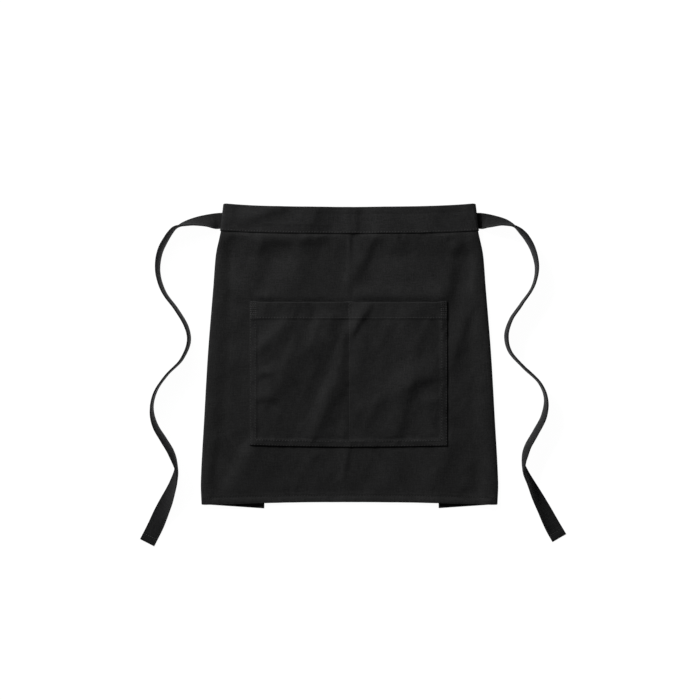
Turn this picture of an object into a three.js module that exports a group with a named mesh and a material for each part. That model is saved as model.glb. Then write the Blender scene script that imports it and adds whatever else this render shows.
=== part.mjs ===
// A canvas waist apron that lies face up on a flat surface, its two sides folded under it.
// Millimetres. +X is to the apron's right as seen from above, +Y is toward the waistband, +Z is up.
// The origin is on the surface, half way down the apron on its centre line.
import * as THREE from "three";

// Outer sizes
const LENGTH = 443; // from the waistband's top edge to the hem, down the middle
const HALF_WIDTH = 223.5; // from the centre line to the widest point of a side fold
const TOP_BOW = 3.8; // how much higher the waistband's top edge is at the sides
const HEM_BOW = 2.4; // how much lower the hem is at the sides

// Cloth
const CLOTH = 1.0; // wall of one layer of canvas
const HEM_WIDTH = 12; // width of a turned edge
const HEM_EXTRA = 0.8; // what a turned edge adds to the wall
const CLEARANCE = 0.3; // gap between pieces that touch

// Sides folded under
const FLAP_AT_TOP = 122; // from the side fold to the flap's free edge, at the waistband
const LEFT_FLAP_AT_HEM = 94;
const RIGHT_FLAP_AT_HEM = 88;
const FLAP_TILT_AT_TOP = 0.12; // fall of a flap toward its free edge, for each unit inward
const FLAP_TILT_AT_HEM = 0.067;
const FOLD_REACH = 6.5; // half of the side fold's width, seen from above
const FOLD_LOFT = 3.5; // height of the air inside a side fold
const FOLD_CALM = 13; // how far inside a side fold the front lies without soft folds
const STEP_RUN = 44; // over which the front comes down from a flap to the surface

// Waistband
const BAND_PLY = 1.0; // wall of its front and of its back
const BAND_BEVEL = 0.8; // along its top edge
const SEAM_DEPTH = 10; // how far the panel's top edge reaches into the waistband
const BAND_MARGIN = 3.5; // above and below a tie's end inside the waistband
const BAND_FOLD_LOFT = 1.6; // height of the air inside the waistband's side fold
const BAND_BLEND = 40; // over which the panel settles below the waistband

// Ties
const TIE_WIDTH = 23;
const TIE_WALL = 1.2;
const TIE_ROOT = 14; // how far a tie's end reaches into the waistband
const TIE_TURN = 4; // from the waistband's end to where the tie turns back under it
const TIE_REACH = 120; // how far a tie swings out from the apron's side
const TIE_DROP = 502; // from a tie's exit down to its end
const TIE_END_HEM = 13;
const TIE_END_EXTRA = 0.6; // what the turned end adds to the wall
const TIE_END_BLEND = 5; // over which the wall grows to it

// Pocket
const POCKET_HALF_WIDTH = 149.5;
const POCKET_DEPTH = 219;
const POCKET_DROP = 141.5; // from the waistband's top edge to the pocket's mouth
const POCKET_HEM = 27;
const POCKET_CROWN = 7; // how far each compartment stands off the panel at its mouth
const ARCH_POWER = 3; // the higher, the flatter a compartment's top from side to side
const FALL_POWER = 2.5; // the higher, the longer it stays open toward its bottom

// Soft folds
const PANEL_FOLD_HEIGHT = 4; // a fold of height 1 in the panel's table
const POCKET_FOLD_HEIGHT = 4; // a fold of height 1 in the pocket's table
const SEAM_CALM = 14; // how far from the pocket's seams the panel lies without folds
const POCKET_CALM = 37; // from the pocket's outer seams to where its folds are full
const MIDDLE_CALM = 18.7; // the same, from its middle seam
const RIDGE_FOOT = 1.7; // half width of a fold's foot, for each width in its table
const RIDGE_TAIL = 0.25; // how far a fold runs out past its ends, as a share of its length
const RIDGE_CROWN = 0.35; // from its ends to its full height, as a share of its length

const BAND_WALL = 2 * (BAND_PLY + CLEARANCE) + Math.max(CLOTH, TIE_WALL);
const BAND_HEIGHT = TIE_WIDTH + SEAM_DEPTH + 2 * BAND_MARGIN;
const TOP_Y = LENGTH / 2;

// The apron's outline: share of LENGTH down from the top, and share of HALF_WIDTH.
const SIDE_OUTLINE = [
  { down: 0, half: 0.846 },
  { down: 0.085, half: 0.867 },
  { down: 0.165, half: 0.896 },
  { down: 0.275, half: 0.914 },
  { down: 0.49, half: 0.949 },
  { down: 0.71, half: 0.975 },
  { down: 0.925, half: 0.998 },
  { down: 1, half: 0.993 },
];

// Soft folds of the panel: ends as shares of HALF_WIDTH and LENGTH, width as a share of HALF_WIDTH,
// height as a share of PANEL_FOLD_HEIGHT.
const PANEL_FOLDS = [
  { x0: -0.33, down0: 0.15, x1: -0.61, down1: 0.28, width: 0.07, height: 0.8 },
  { x0: 0.11, down0: 0.12, x1: 0.02, down1: 0.24, width: 0.05, height: 0.5 },
  { x0: 0.85, down0: 0.15, x1: 0.71, down1: 0.46, width: 0.08, height: 0.7 },
  { x0: -0.65, down0: 0.82, x1: -0.8, down1: 0.94, width: 0.07, height: 0.9 },
  { x0: -0.01, down0: 0.83, x1: -0.06, down1: 0.95, width: 0.05, height: 0.7 },
];

// Soft folds of the pocket: ends as shares of POCKET_HALF_WIDTH and POCKET_DEPTH, width as a share of
// POCKET_HALF_WIDTH, height as a share of POCKET_FOLD_HEIGHT.
const POCKET_FOLDS = [
  { x0: -0.02, down0: 0.14, x1: -0.3, down1: 0.82, width: 0.09, height: 1 },
  { x0: -0.7, down0: 0.15, x1: -0.92, down1: 0.28, width: 0.09, height: 0.6 },
  { x0: -0.63, down0: 0.36, x1: -0.8, down1: 0.6, width: 0.09, height: 0.7 },
  { x0: 0.68, down0: 0.44, x1: 0.28, down1: 0.65, width: 0.09, height: 0.8 },
];

// Where a tie goes. out is a share of TIE_REACH from the side fold, down a share of TIE_DROP from the
// exit: they place the edge that stays on the surface. root and tip are the cloth's slopes there and at
// the other edge, in degrees: 0 lies flat, 90 stands upright, more leans away from the apron.
const LEFT_TIE_ROUTE = [
  { out: 0, down: 0, root: 0, tip: 0 },
  { out: 0.07, down: 0.001, root: 0, tip: 0 },
  { out: 0.205, down: 0.006, root: 0, tip: 65 },
  { out: 0.342, down: 0.014, root: 15, tip: 90 },
  { out: 0.436, down: 0.023, root: 35, tip: 97 },
  { out: 0.523, down: 0.035, root: 60, tip: 100 },
  { out: 0.586, down: 0.05, root: 80, tip: 108 },
  { out: 0.668, down: 0.08, root: 85, tip: 115 },
  { out: 0.75, down: 0.122, root: 86, tip: 116 },
  { out: 0.778, down: 0.176, root: 85, tip: 112 },
  { out: 0.711, down: 0.234, root: 86, tip: 106 },
  { out: 0.548, down: 0.289, root: 86, tip: 106 },
  { out: 0.42, down: 0.343, root: 86, tip: 106 },
  { out: 0.396, down: 0.385, root: 86, tip: 103 },
  { out: 0.487, down: 0.438, root: 88, tip: 96 },
  { out: 0.682, down: 0.486, root: 90, tip: 90 },
  { out: 0.816, down: 0.534, root: 90, tip: 92 },
  { out: 0.862, down: 0.582, root: 88, tip: 97 },
  { out: 0.813, down: 0.63, root: 84, tip: 118 },
  { out: 0.692, down: 0.677, root: 82, tip: 131 },
  { out: 0.612, down: 0.709, root: 80, tip: 134 },
  { out: 0.577, down: 0.738, root: 68, tip: 134 },
  { out: 0.593, down: 0.77, root: 42, tip: 114 },
  { out: 0.64, down: 0.797, root: 20, tip: 98 },
  { out: 0.705, down: 0.827, root: 8, tip: 78 },
  { out: 0.763, down: 0.851, root: 2, tip: 55 },
  { out: 0.848, down: 0.889, root: 0, tip: 26 },
  { out: 0.93, down: 0.931, root: 0, tip: 0 },
  { out: 1.026, down: 0.976, root: 0, tip: 0 },
];

const RIGHT_TIE_ROUTE = [
  { out: 0, down: 0, root: 0, tip: 0 },
  { out: 0.07, down: 0.001, root: 0, tip: 0 },
  { out: 0.167, down: 0.005, root: 0, tip: 50 },
  { out: 0.316, down: 0.015, root: 15, tip: 92 },
  { out: 0.395, down: 0.024, root: 35, tip: 97 },
  { out: 0.465, down: 0.037, root: 60, tip: 102 },
  { out: 0.518, down: 0.056, root: 80, tip: 116 },
  { out: 0.595, down: 0.08, root: 84, tip: 122 },
  { out: 0.678, down: 0.116, root: 85, tip: 116 },
  { out: 0.73, down: 0.17, root: 87, tip: 102 },
  { out: 0.682, down: 0.223, root: 88, tip: 96 },
  { out: 0.546, down: 0.271, root: 87, tip: 100 },
  { out: 0.408, down: 0.319, root: 86, tip: 104 },
  { out: 0.347, down: 0.367, root: 86, tip: 107 },
  { out: 0.392, down: 0.414, root: 87, tip: 101 },
  { out: 0.566, down: 0.462, root: 88, tip: 98 },
  { out: 0.773, down: 0.51, root: 89, tip: 94 },
  { out: 0.843, down: 0.555, root: 88, tip: 101 },
  { out: 0.807, down: 0.606, root: 84, tip: 120 },
  { out: 0.703, down: 0.653, root: 82, tip: 128 },
  { out: 0.598, down: 0.698, root: 78, tip: 136 },
  { out: 0.572, down: 0.725, root: 70, tip: 138 },
  { out: 0.588, down: 0.748, root: 52, tip: 126 },
  { out: 0.633, down: 0.77, root: 32, tip: 106 },
  { out: 0.703, down: 0.797, root: 20, tip: 95 },
  { out: 0.8, down: 0.833, root: 6, tip: 74 },
  { out: 0.92, down: 0.88, root: 1, tip: 48 },
  { out: 1.011, down: 0.918, root: 0, tip: 22 },
  { out: 1.073, down: 0.943, root: 0, tip: 0 },
  { out: 1.117, down: 0.961, root: 0, tip: 0 },
];

// Mesh fineness
const FLAP_STEPS = 2; // between its hem and the side fold
const TURN_STEPS = 7;
const FRONT_STEPS = 32;
const PANEL_ROWS = 19;
const POCKET_COLUMNS = 32;
const POCKET_ROWS = 16;
const TIE_COLUMNS = 3;
const TIE_STATIONS = 70;
const TIE_TURN_STEPS = 6;
const TIE_LEAD_STEPS = 4; // from its turn to where it shows
const HEM_STEP = 1; // over which a hem's extra wall ends

// The apron's outer face from side to side: u goes up by 1 over each of these.
const ZONES = ["left flap", "left fold", "front", "right fold", "right flap"];
const U_END = ZONES.length;
const U_MIDDLE = U_END / 2;
const U_STEP = 0.01; // for the face's slope
const DOWN_STEP = 0.002;

function mix(a, b, t) {
  return a + (b - a) * t;
}

// 0 up to one value, 1 past the other, and a smooth step between; the first may be the larger one.
function smoothStep(from, to, value) {
  const t = THREE.MathUtils.clamp((value - from) / (to - from), 0, 1);
  return t * t * (3 - 2 * t);
}

// A smooth curve through one column of a table, read at a value of its key column.
function readTable(rows, key, column, at) {
  const last = rows.length - 1;
  const x = THREE.MathUtils.clamp(at, rows[0][key], rows[last][key]);
  let i = 0;
  while (i < last - 1 && x > rows[i + 1][key]) {
    i += 1;
  }
  const slope = (k) => {
    const a = rows[Math.max(k - 1, 0)];
    const b = rows[Math.min(k + 1, last)];
    return (b[column] - a[column]) / (b[key] - a[key]);
  };
  const span = rows[i + 1][key] - rows[i][key];
  const t = (x - rows[i][key]) / span;
  const start = (2 * t + 1) * (1 - t) * (1 - t) * rows[i][column];
  const end = t * t * (3 - 2 * t) * rows[i + 1][column];
  const bend = t * (1 - t) * span * ((1 - t) * slope(i) - t * slope(i + 1));
  return start + end + bend;
}

// The sum of a table's soft ridges at a place given in the table's own shares.
function ridgeHeight(folds, x, down, aspect) {
  let height = 0;
  for (const fold of folds) {
    const dx = fold.x1 - fold.x0;
    const dy = (fold.down1 - fold.down0) * aspect;
    const px = x - fold.x0;
    const py = (down - fold.down0) * aspect;
    const along = (px * dx + py * dy) / (dx * dx + dy * dy);
    const across = (px * dy - py * dx) / Math.hypot(dx, dy) / fold.width;
    const start = smoothStep(-RIDGE_TAIL, RIDGE_CROWN, along);
    const end = smoothStep(1 + RIDGE_TAIL, 1 - RIDGE_CROWN, along);
    height += fold.height * start * end * smoothStep(RIDGE_FOOT, 0, Math.abs(across));
  }
  return height;
}

// 1 in the waistband, 0 where the panel lies free of it.
function bandShare(down) {
  const drop = down * LENGTH;
  return 1 - smoothStep(BAND_HEIGHT, BAND_HEIGHT + BAND_BLEND, drop);
}

// 1 in the bottom hem, 0 above it.
function bottomHem(down) {
  return smoothStep(HEM_WIDTH + HEM_STEP, HEM_WIDTH, (1 - down) * LENGTH);
}

function halfWidth(down) {
  return HALF_WIDTH * readTable(SIDE_OUTLINE, "down", "half", down);
}

function flapDepth(side, down) {
  const atHem = side < 0 ? LEFT_FLAP_AT_HEM : RIGHT_FLAP_AT_HEM;
  return mix(FLAP_AT_TOP, atHem, down);
}

// The thickness of everything between the apron's outer face and its inner one.
function layerWall(down) {
  return mix(CLOTH + HEM_EXTRA * bottomHem(down), BAND_WALL, bandShare(down));
}

// How high the folded-under layer's outer face is above the surface.
function flapRise(down) {
  return (TIE_WALL + CLEARANCE) * bandShare(down);
}

function foldTop(down) {
  const b = bandShare(down);
  const flapTop = flapRise(down) + mix(CLOTH + HEM_EXTRA, BAND_WALL, b);
  const stack = flapTop + CLEARANCE + layerWall(down);
  return { stack, fold: stack + mix(FOLD_LOFT, BAND_FOLD_LOFT, b) };
}

// 0 under and next to the pocket, 1 where the panel is well clear of its seams.
function besidePocket(x, down) {
  const below = down * LENGTH - POCKET_DROP - POCKET_DEPTH;
  const above = POCKET_DROP - down * LENGTH;
  const away = Math.max(Math.abs(x) - POCKET_HALF_WIDTH, below, above);
  return smoothStep(SEAM_CALM, 2 * SEAM_CALM, away);
}

// Height of the front's outer face above the surface.
function frontHeight(x, down) {
  const side = x < 0 ? -1 : 1;
  const b = bandShare(down);
  const half = halfWidth(down);
  const edge = half - flapDepth(side, down) - b * (TIE_TURN + 2 * TIE_WALL + CLEARANCE);
  const distance = Math.abs(x);
  const top = foldTop(down);
  const onFlap = smoothStep(edge - STEP_RUN, edge - CLOTH, distance);
  const onFold = smoothStep(edge, half - FOLD_REACH, distance);
  const floor = layerWall(down);
  const lift = (top.stack - floor) * onFlap + (top.fold - top.stack) * onFold;
  const calm = (1 - b) * smoothStep(half - FOLD_CALM, half - 2 * FOLD_CALM, distance);
  const ridge = ridgeHeight(PANEL_FOLDS, x / HALF_WIDTH, down, LENGTH / HALF_WIDTH);
  return floor + lift + PANEL_FOLD_HEIGHT * calm * besidePocket(x, down) * ridge;
}

function sideOf(u) {
  return u < U_MIDDLE ? -1 : 1;
}

// u as counted from the nearer free edge.
function fromFreeEdge(u) {
  return Math.min(u, U_END - u);
}

// A point of the apron's outer face.
function outerFace(u, down) {
  const side = sideOf(u);
  const w = fromFreeEdge(u);
  const half = halfWidth(down);
  const rise = flapRise(down);
  const bow = mix(TOP_BOW, -HEM_BOW, down);
  const y = TOP_Y - down * LENGTH;
  const foldHalfHeight = (foldTop(down).fold - rise) / 2;
  const reach = mix(FOLD_REACH, foldHalfHeight, bandShare(down));
  if (w <= 1) {
    const inward = (1 - w) * (flapDepth(side, down) - reach) + reach;
    const tilt = mix(FLAP_TILT_AT_TOP, FLAP_TILT_AT_HEM, down);
    return new THREE.Vector3(side * (half - inward), y + bow - tilt * (inward - reach), rise);
  }
  if (w <= 2) {
    const angle = Math.PI * (w - 1);
    const x = half - reach + reach * Math.sin(angle);
    return new THREE.Vector3(side * x, y + bow, rise + foldHalfHeight * (1 - Math.cos(angle)));
  }
  const x = side * (half - reach) * (1 - 2 * (w - 2));
  const share = x / (half - reach);
  return new THREE.Vector3(x, y + bow * share * share, frontHeight(x, down));
}

// A point at a depth below the outer face, measured along the face's normal.
function belowFace(u, down, depth) {
  const u0 = Math.max(u - U_STEP, 0);
  const u1 = Math.min(u + U_STEP, U_END);
  const along = outerFace(u1, down).sub(outerFace(u0, down));
  const d0 = Math.max(down - DOWN_STEP, 0);
  const d1 = Math.min(down + DOWN_STEP, 1);
  const across = outerFace(u, d1).sub(outerFace(u, d0));
  const normal = across.cross(along).normalize();
  return outerFace(u, down).addScaledVector(normal, -depth);
}

// u at the columns of a flap, counted from its free edge: its hem, then even steps to the side fold.
function flapColumns(side, down) {
  const depth = flapDepth(side, down);
  const hemEnd = (HEM_WIDTH + HEM_STEP) / depth;
  const list = [0, HEM_WIDTH / depth];
  for (let i = 0; i < FLAP_STEPS; i += 1) {
    list.push(mix(hemEnd, 1, i / FLAP_STEPS));
  }
  return list;
}

// u at the columns of the panel and of the waistband.
function columns(down) {
  const list = flapColumns(-1, down);
  [TURN_STEPS, FRONT_STEPS, TURN_STEPS].forEach((steps, i) => {
    for (let k = 0; k < steps; k += 1) {
      list.push(1 + i + k / steps);
    }
  });
  const rightFlap = flapColumns(1, down).map((u) => U_END - u);
  return [...list, U_END - 1, ...rightFlap.reverse()];
}

function toGeometry(points, triangles) {
  const geometry = new THREE.BufferGeometry();
  const positions = points.flatMap((p) => [p.x, p.y, p.z]);
  geometry.setAttribute("position", new THREE.Float32BufferAttribute(positions, 3));
  geometry.setIndex(triangles);
  geometry.computeVertexNormals();
  return geometry;
}

// A closed wall between an upper and a lower grid of points of the same size.
function wallGeometry(upper, lower) {
  const rows = upper.length;
  const cols = upper[0].length;
  const points = [...upper.flat(), ...lower.flat()];
  const triangles = [];
  const top = (i, j) => i * cols + j;
  const under = (i, j) => rows * cols + i * cols + j;
  const quad = (a, b, c, d) => triangles.push(a, b, c, a, c, d);
  for (let i = 0; i < rows - 1; i += 1) {
    for (let j = 0; j < cols - 1; j += 1) {
      quad(top(i, j), top(i + 1, j), top(i + 1, j + 1), top(i, j + 1));
      quad(under(i, j), under(i, j + 1), under(i + 1, j + 1), under(i + 1, j));
    }
    quad(top(i, 0), under(i, 0), under(i + 1, 0), top(i + 1, 0));
    quad(top(i, cols - 1), top(i + 1, cols - 1), under(i + 1, cols - 1), under(i, cols - 1));
  }
  for (let j = 0; j < cols - 1; j += 1) {
    quad(top(0, j), top(0, j + 1), under(0, j + 1), under(0, j));
    quad(top(rows - 1, j), under(rows - 1, j), under(rows - 1, j + 1), top(rows - 1, j + 1));
  }
  return toGeometry(points, triangles);
}

// A closed body that joins rings of points, with its two ends filled by triangles of the outline.
function ringGeometry(rings, outline) {
  const sides = outline.length;
  const triangles = [];
  for (let i = 0; i < rings.length - 1; i += 1) {
    for (let j = 0; j < sides; j += 1) {
      const next = (j + 1) % sides;
      const a = i * sides + j;
      const b = i * sides + next;
      triangles.push(a, b + sides, a + sides, a, b, b + sides);
    }
  }
  const lastRing = (rings.length - 1) * sides;
  for (const [a, b, c] of THREE.ShapeUtils.triangulateShape(outline, [])) {
    triangles.push(a, c, b);
    triangles.push(lastRing + a, lastRing + b, lastRing + c);
  }
  return toGeometry(rings.flat(), triangles);
}

// Wall of the panel: thicker in the bottom hem and along the flaps' free edges.
function panelWall(u, down) {
  const fromEdge = fromFreeEdge(u) * flapDepth(sideOf(u), down);
  const sideHem = smoothStep(HEM_WIDTH + HEM_STEP, HEM_WIDTH, fromEdge);
  const hem = Math.max(sideHem * (1 - bandShare(down)), bottomHem(down));
  return CLOTH + HEM_EXTRA * hem;
}

function panelRows() {
  const start = (BAND_HEIGHT - SEAM_DEPTH) / LENGTH;
  const hem = 1 - HEM_WIDTH / LENGTH;
  const band = BAND_HEIGHT / LENGTH;
  const list = [start, band];
  for (let i = 1; i <= PANEL_ROWS; i += 1) {
    list.push(mix(band, hem - HEM_STEP / LENGTH, i / PANEL_ROWS));
  }
  list.push(hem, 1);
  return list;
}

function makePanel() {
  const upper = [];
  const lower = [];
  for (const down of panelRows()) {
    const inset = (BAND_PLY + CLEARANCE) * bandShare(down);
    upper.push(columns(down).map((u) => belowFace(u, down, inset)));
    lower.push(columns(down).map((u) => belowFace(u, down, inset + panelWall(u, down))));
  }
  return wallGeometry(upper, lower);
}

// The waistband is a strip folded along its top, open below for the panel's edge. Its outline is
// given as distance down from the top edge and depth below the outer face.
function makeWaistband() {
  const seam = BAND_HEIGHT - SEAM_DEPTH;
  const face = (depth) => [[BAND_BEVEL, depth], [seam, depth], [BAND_HEIGHT, depth]];
  const slotWall = (depth) => [[BAND_PLY, depth], [seam, depth], [BAND_HEIGHT, depth]];
  const places = [
    [0, BAND_WALL - BAND_BEVEL],
    [0, BAND_BEVEL],
    ...face(0),
    ...slotWall(BAND_PLY).reverse(),
    ...slotWall(BAND_WALL - BAND_PLY),
    ...face(BAND_WALL).reverse(),
  ];
  const outline = places.map(([x, y]) => new THREE.Vector2(x, y));
  const ring = (u) => outline.map((p) => belowFace(u, p.x / LENGTH, p.y));
  return ringGeometry(columns(0).map(ring), outline);
}

// Gap under the pocket: closed at its seams, open at its mouth, with a rib down the middle.
function pocketGap(across, depth) {
  const compartment = Math.abs(Math.abs(across) * 2 - 1);
  const arch = 1 - compartment ** ARCH_POWER;
  const fall = 1 - depth ** FALL_POWER;
  return CLEARANCE + POCKET_CROWN * arch * fall;
}

// 0 at the pocket's seams, 1 where its folds are full.
function awayFromSeams(x, depth) {
  const fromSide = POCKET_HALF_WIDTH - Math.abs(x);
  const fromBottom = POCKET_DEPTH * (1 - depth);
  return Math.min(1, Math.min(fromSide, fromBottom) / POCKET_CALM, Math.abs(x) / MIDDLE_CALM);
}

function makePocket() {
  const upper = [];
  const lower = [];
  const aspect = POCKET_DEPTH / POCKET_HALF_WIDTH;
  const hemRow = POCKET_HEM / POCKET_DEPTH;
  const plainRow = (POCKET_HEM + HEM_STEP) / POCKET_DEPTH;
  const rows = [0, hemRow];
  for (let i = 0; i <= POCKET_ROWS; i += 1) {
    rows.push(mix(plainRow, 1, i / POCKET_ROWS));
  }
  for (const depth of rows) {
    const down = (POCKET_DROP + depth * POCKET_DEPTH) / LENGTH;
    const wall = CLOTH + (depth <= hemRow ? HEM_EXTRA : 0);
    const upperRow = [];
    const lowerRow = [];
    for (let j = 0; j <= POCKET_COLUMNS; j += 1) {
      const across = mix(-1, 1, j / POCKET_COLUMNS);
      const x = across * POCKET_HALF_WIDTH;
      const ridge = awayFromSeams(x, depth) * ridgeHeight(POCKET_FOLDS, across, depth, aspect);
      const z = frontHeight(x, down) + pocketGap(across, depth) + POCKET_FOLD_HEIGHT * ridge;
      const y = TOP_Y - down * LENGTH;
      lowerRow.push(new THREE.Vector3(x, y, z));
      upperRow.push(new THREE.Vector3(x, y, z + wall));
    }
    upper.push(upperRow);
    lower.push(lowerRow);
  }
  return wallGeometry(upper, lower);
}

// The places across a tie at one step of its route, from the edge on the surface to the other edge.
function tieSection(ground, inward, root, tip, wall) {
  const place = ground.clone().setZ((wall / 2) * Math.abs(Math.cos(root)));
  const list = [place.clone()];
  const step = TIE_WIDTH / TIE_COLUMNS;
  for (let j = 1; j <= TIE_COLUMNS; j += 1) {
    const slope = mix(root, tip, (j - 0.5) / TIE_COLUMNS);
    place.addScaledVector(inward, Math.cos(slope) * step);
    place.z += Math.sin(slope) * step;
    list.push(place.clone());
  }
  return list;
}

// The hidden stretch of a tie: out of the waistband's end, round it and back under the waistband.
function tieRoot(side) {
  const margin = (BAND_HEIGHT - SEAM_DEPTH + BAND_PLY - TIE_WIDTH) / 2;
  const middle = BAND_PLY + CLEARANCE + TIE_WALL / 2;
  const list = [];
  const freeEdge = side < 0 ? 0 : U_END;
  const drops = [];
  for (let j = 0; j <= TIE_COLUMNS; j += 1) {
    drops.push((margin + (TIE_WIDTH * j) / TIE_COLUMNS) / LENGTH);
  }
  const depth = flapDepth(side, drops[0]);
  const inside = (reach) => drops.map((d) => belowFace(freeEdge - side * (reach / depth), d, middle));
  list.push(inside(TIE_ROOT));
  list.push(inside(TIE_ROOT / 2));
  const edge = inside(0);
  const inner = inside(TIE_ROOT);
  const radius = (edge[0].z - TIE_WALL / 2) / 2;
  const heading = edge.map((p, j) => p.clone().sub(inner[j]).setZ(0).normalize());
  list.push(edge);
  for (let k = 0; k <= TIE_TURN_STEPS; k += 1) {
    const angle = (Math.PI * k) / TIE_TURN_STEPS;
    list.push(edge.map((p, j) => {
      const moved = p.clone().addScaledVector(heading[j], TIE_TURN + radius * Math.sin(angle));
      moved.z -= radius * (1 - Math.cos(angle));
      return moved;
    }));
  }
  return list;
}

function makeTie(side, route) {
  const exitDown = (BAND_HEIGHT - BAND_MARGIN - TIE_WIDTH) / LENGTH;
  const exitX = halfWidth(exitDown);
  const exitY = TOP_Y - exitDown * LENGTH + TOP_BOW;
  const spots = route.map((row) => new THREE.Vector3(
    side * (exitX + row.out * TIE_REACH), exitY - row.down * TIE_DROP, 0,
  ));
  const curve = new THREE.CatmullRomCurve3(spots, false, "centripetal");
  const length = curve.getLength();
  const table = route.map((row, i) => ({ ...row, at: i / (route.length - 1) }));
  const slopeAt = (column, at) => {
    return THREE.MathUtils.degToRad(Math.max(0, readTable(table, "at", column, at)));
  };
  const rows = tieRoot(side);
  const hidden = rows[rows.length - 1];
  const exit = tieSection(spots[0], new THREE.Vector3(0, -1, 0), 0, 0, TIE_WALL);
  for (let i = 1; i < TIE_LEAD_STEPS; i += 1) {
    rows.push(hidden.map((p, j) => p.clone().lerp(exit[j], i / TIE_LEAD_STEPS)));
  }
  const walls = rows.map(() => TIE_WALL);
  for (let i = 0; i <= TIE_STATIONS; i += 1) {
    const share = i / TIE_STATIONS;
    const at = curve.getUtoTmapping(share);
    const heading = curve.getTangent(at);
    const inward = new THREE.Vector3(side * heading.y, -side * heading.x, 0);
    const fromEnd = (1 - share) * length;
    const endHem = smoothStep(TIE_END_HEM + TIE_END_BLEND, TIE_END_HEM, fromEnd);
    const wall = TIE_WALL + TIE_END_EXTRA * endHem;
    rows.push(tieSection(curve.getPoint(at), inward, slopeAt("root", at), slopeAt("tip", at), wall));
    walls.push(wall);
  }
  return thickenedStrip(rows, walls, side);
}

// A closed strip of cloth around a grid of middle points, its lowest face never below the surface.
function thickenedStrip(rows, walls, side) {
  const upper = [];
  const lower = [];
  rows.forEach((row, i) => {
    const before = rows[Math.max(i - 1, 0)];
    const after = rows[Math.min(i + 1, rows.length - 1)];
    const upperRow = [];
    const lowerRow = [];
    row.forEach((p, j) => {
      const along = after[j].clone().sub(before[j]);
      const across = row[Math.min(j + 1, row.length - 1)].clone().sub(row[Math.max(j - 1, 0)]);
      const normal = along.cross(across).normalize().multiplyScalar((-side * walls[i]) / 2);
      upperRow.push(p.clone().add(normal));
      lowerRow.push(p.clone().sub(normal));
    });
    upper.push(side < 0 ? upperRow : upperRow.reverse());
    lower.push(side < 0 ? lowerRow : lowerRow.reverse());
  });
  for (const p of [...upper.flat(), ...lower.flat()]) {
    p.z = Math.max(p.z, 0);
  }
  return wallGeometry(upper, lower);
}

function addPiece(group, name, geometry, color) {
  const material = new THREE.MeshStandardMaterial({ color, roughness: 0.9, metalness: 0 });
  const mesh = new THREE.Mesh(geometry, material);
  mesh.name = name;
  group.add(mesh);
}

const apron = new THREE.Group();
addPiece(apron, "apron_panel", makePanel(), 0x1c1c1e);
addPiece(apron, "waistband", makeWaistband(), 0x1e1e20);
addPiece(apron, "patch_pocket", makePocket(), 0x1d1d1f);
addPiece(apron, "left_tie", makeTie(-1, LEFT_TIE_ROUTE), 0x202022);
addPiece(apron, "right_tie", makeTie(1, RIGHT_TIE_ROUTE), 0x202022);

export default apron;
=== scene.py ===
import math

import bpy
import numpy as np
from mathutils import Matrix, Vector


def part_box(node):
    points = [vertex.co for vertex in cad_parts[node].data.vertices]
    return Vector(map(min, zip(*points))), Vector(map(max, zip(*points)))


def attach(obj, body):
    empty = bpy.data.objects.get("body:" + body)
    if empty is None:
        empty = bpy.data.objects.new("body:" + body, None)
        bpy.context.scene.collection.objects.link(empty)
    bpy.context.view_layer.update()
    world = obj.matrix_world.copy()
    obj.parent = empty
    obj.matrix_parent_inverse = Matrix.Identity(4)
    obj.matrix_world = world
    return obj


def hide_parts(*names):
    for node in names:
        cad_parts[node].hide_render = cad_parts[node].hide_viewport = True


# A black canvas waist apron that lies face up, its sides folded under it. Metres, in the packed
# model's frame: +X to the right, +Y toward the waistband, +Z up, the surface it lies on at z = 0.
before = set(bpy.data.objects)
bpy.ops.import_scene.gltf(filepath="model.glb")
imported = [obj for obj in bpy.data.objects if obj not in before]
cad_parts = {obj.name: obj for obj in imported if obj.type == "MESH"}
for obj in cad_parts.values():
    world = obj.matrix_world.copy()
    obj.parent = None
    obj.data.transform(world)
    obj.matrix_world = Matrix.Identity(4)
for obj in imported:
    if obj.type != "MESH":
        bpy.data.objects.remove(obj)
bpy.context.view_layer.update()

band_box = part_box("waistband")
pocket_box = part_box("patch_pocket")
BODY = "root"

# Outer sizes
CAD_TOP_BOW = 0.0038  # how far the CAD's top edge rises from its middle to its ends
TOP_Y = band_box[1].y - CAD_TOP_BOW  # the middle of the top edge
TOP_BOW = 0.0045  # how far the top edge's ends lie above its middle
TOP_BOW_POWER = 3.4
HEM_BOW = 0.0037  # how far the hem's ends lie below its middle
LENGTH = 2 * TOP_Y
HALF_WIDTH = 0.2235

# Cloth
CLOTH = 0.0010
TURNED = 0.0008  # what a turned edge adds to the wall
CLEARANCE = 0.0003
EDGE_ROUND = 0.0008
HEM_ROUND = 0.0009
MOUTH_ROUND = 0.0019
POCKET_ROUND = 0.0018
TIE_ROUND = 0.0006
TIE_END_ROUND = 0.0007
THIN = 0.00008  # the least half wall of a tie's rounded edges
THINNEST = 0.00006  # and where a seam presses it too

# Sides folded under
FLAP_AT_TOP = 0.122
LEFT_FLAP_AT_HEM = 0.094
RIGHT_FLAP_AT_HEM = 0.088
FLAP_TILT_AT_TOP = 0.12
FLAP_TILT_AT_HEM = 0.067
FOLD_REACH = 0.0065
FOLD_LOFT = 0.0035
LOFT_RUN_AT_TOP = 0.017  # over which a side fold comes down to what lies under it
LOFT_RUN_AT_HEM = 0.028
LOFT_RUN_AT_CORNER = 0.016  # a little above the hem's left end
STEP_RUN = 0.044  # over which the front climbs onto a folded-under side
CALM_RIM = (0.003, 0.020)  # from a side, where folds begin and where they have their full height
HEM_WIDTH = 0.012
HEM_SEAM = 0.0105  # from the hem's edge up to its stitches
HEM_RISE = 0.0016  # how much higher the hem's edge lies than its stitches

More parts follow.
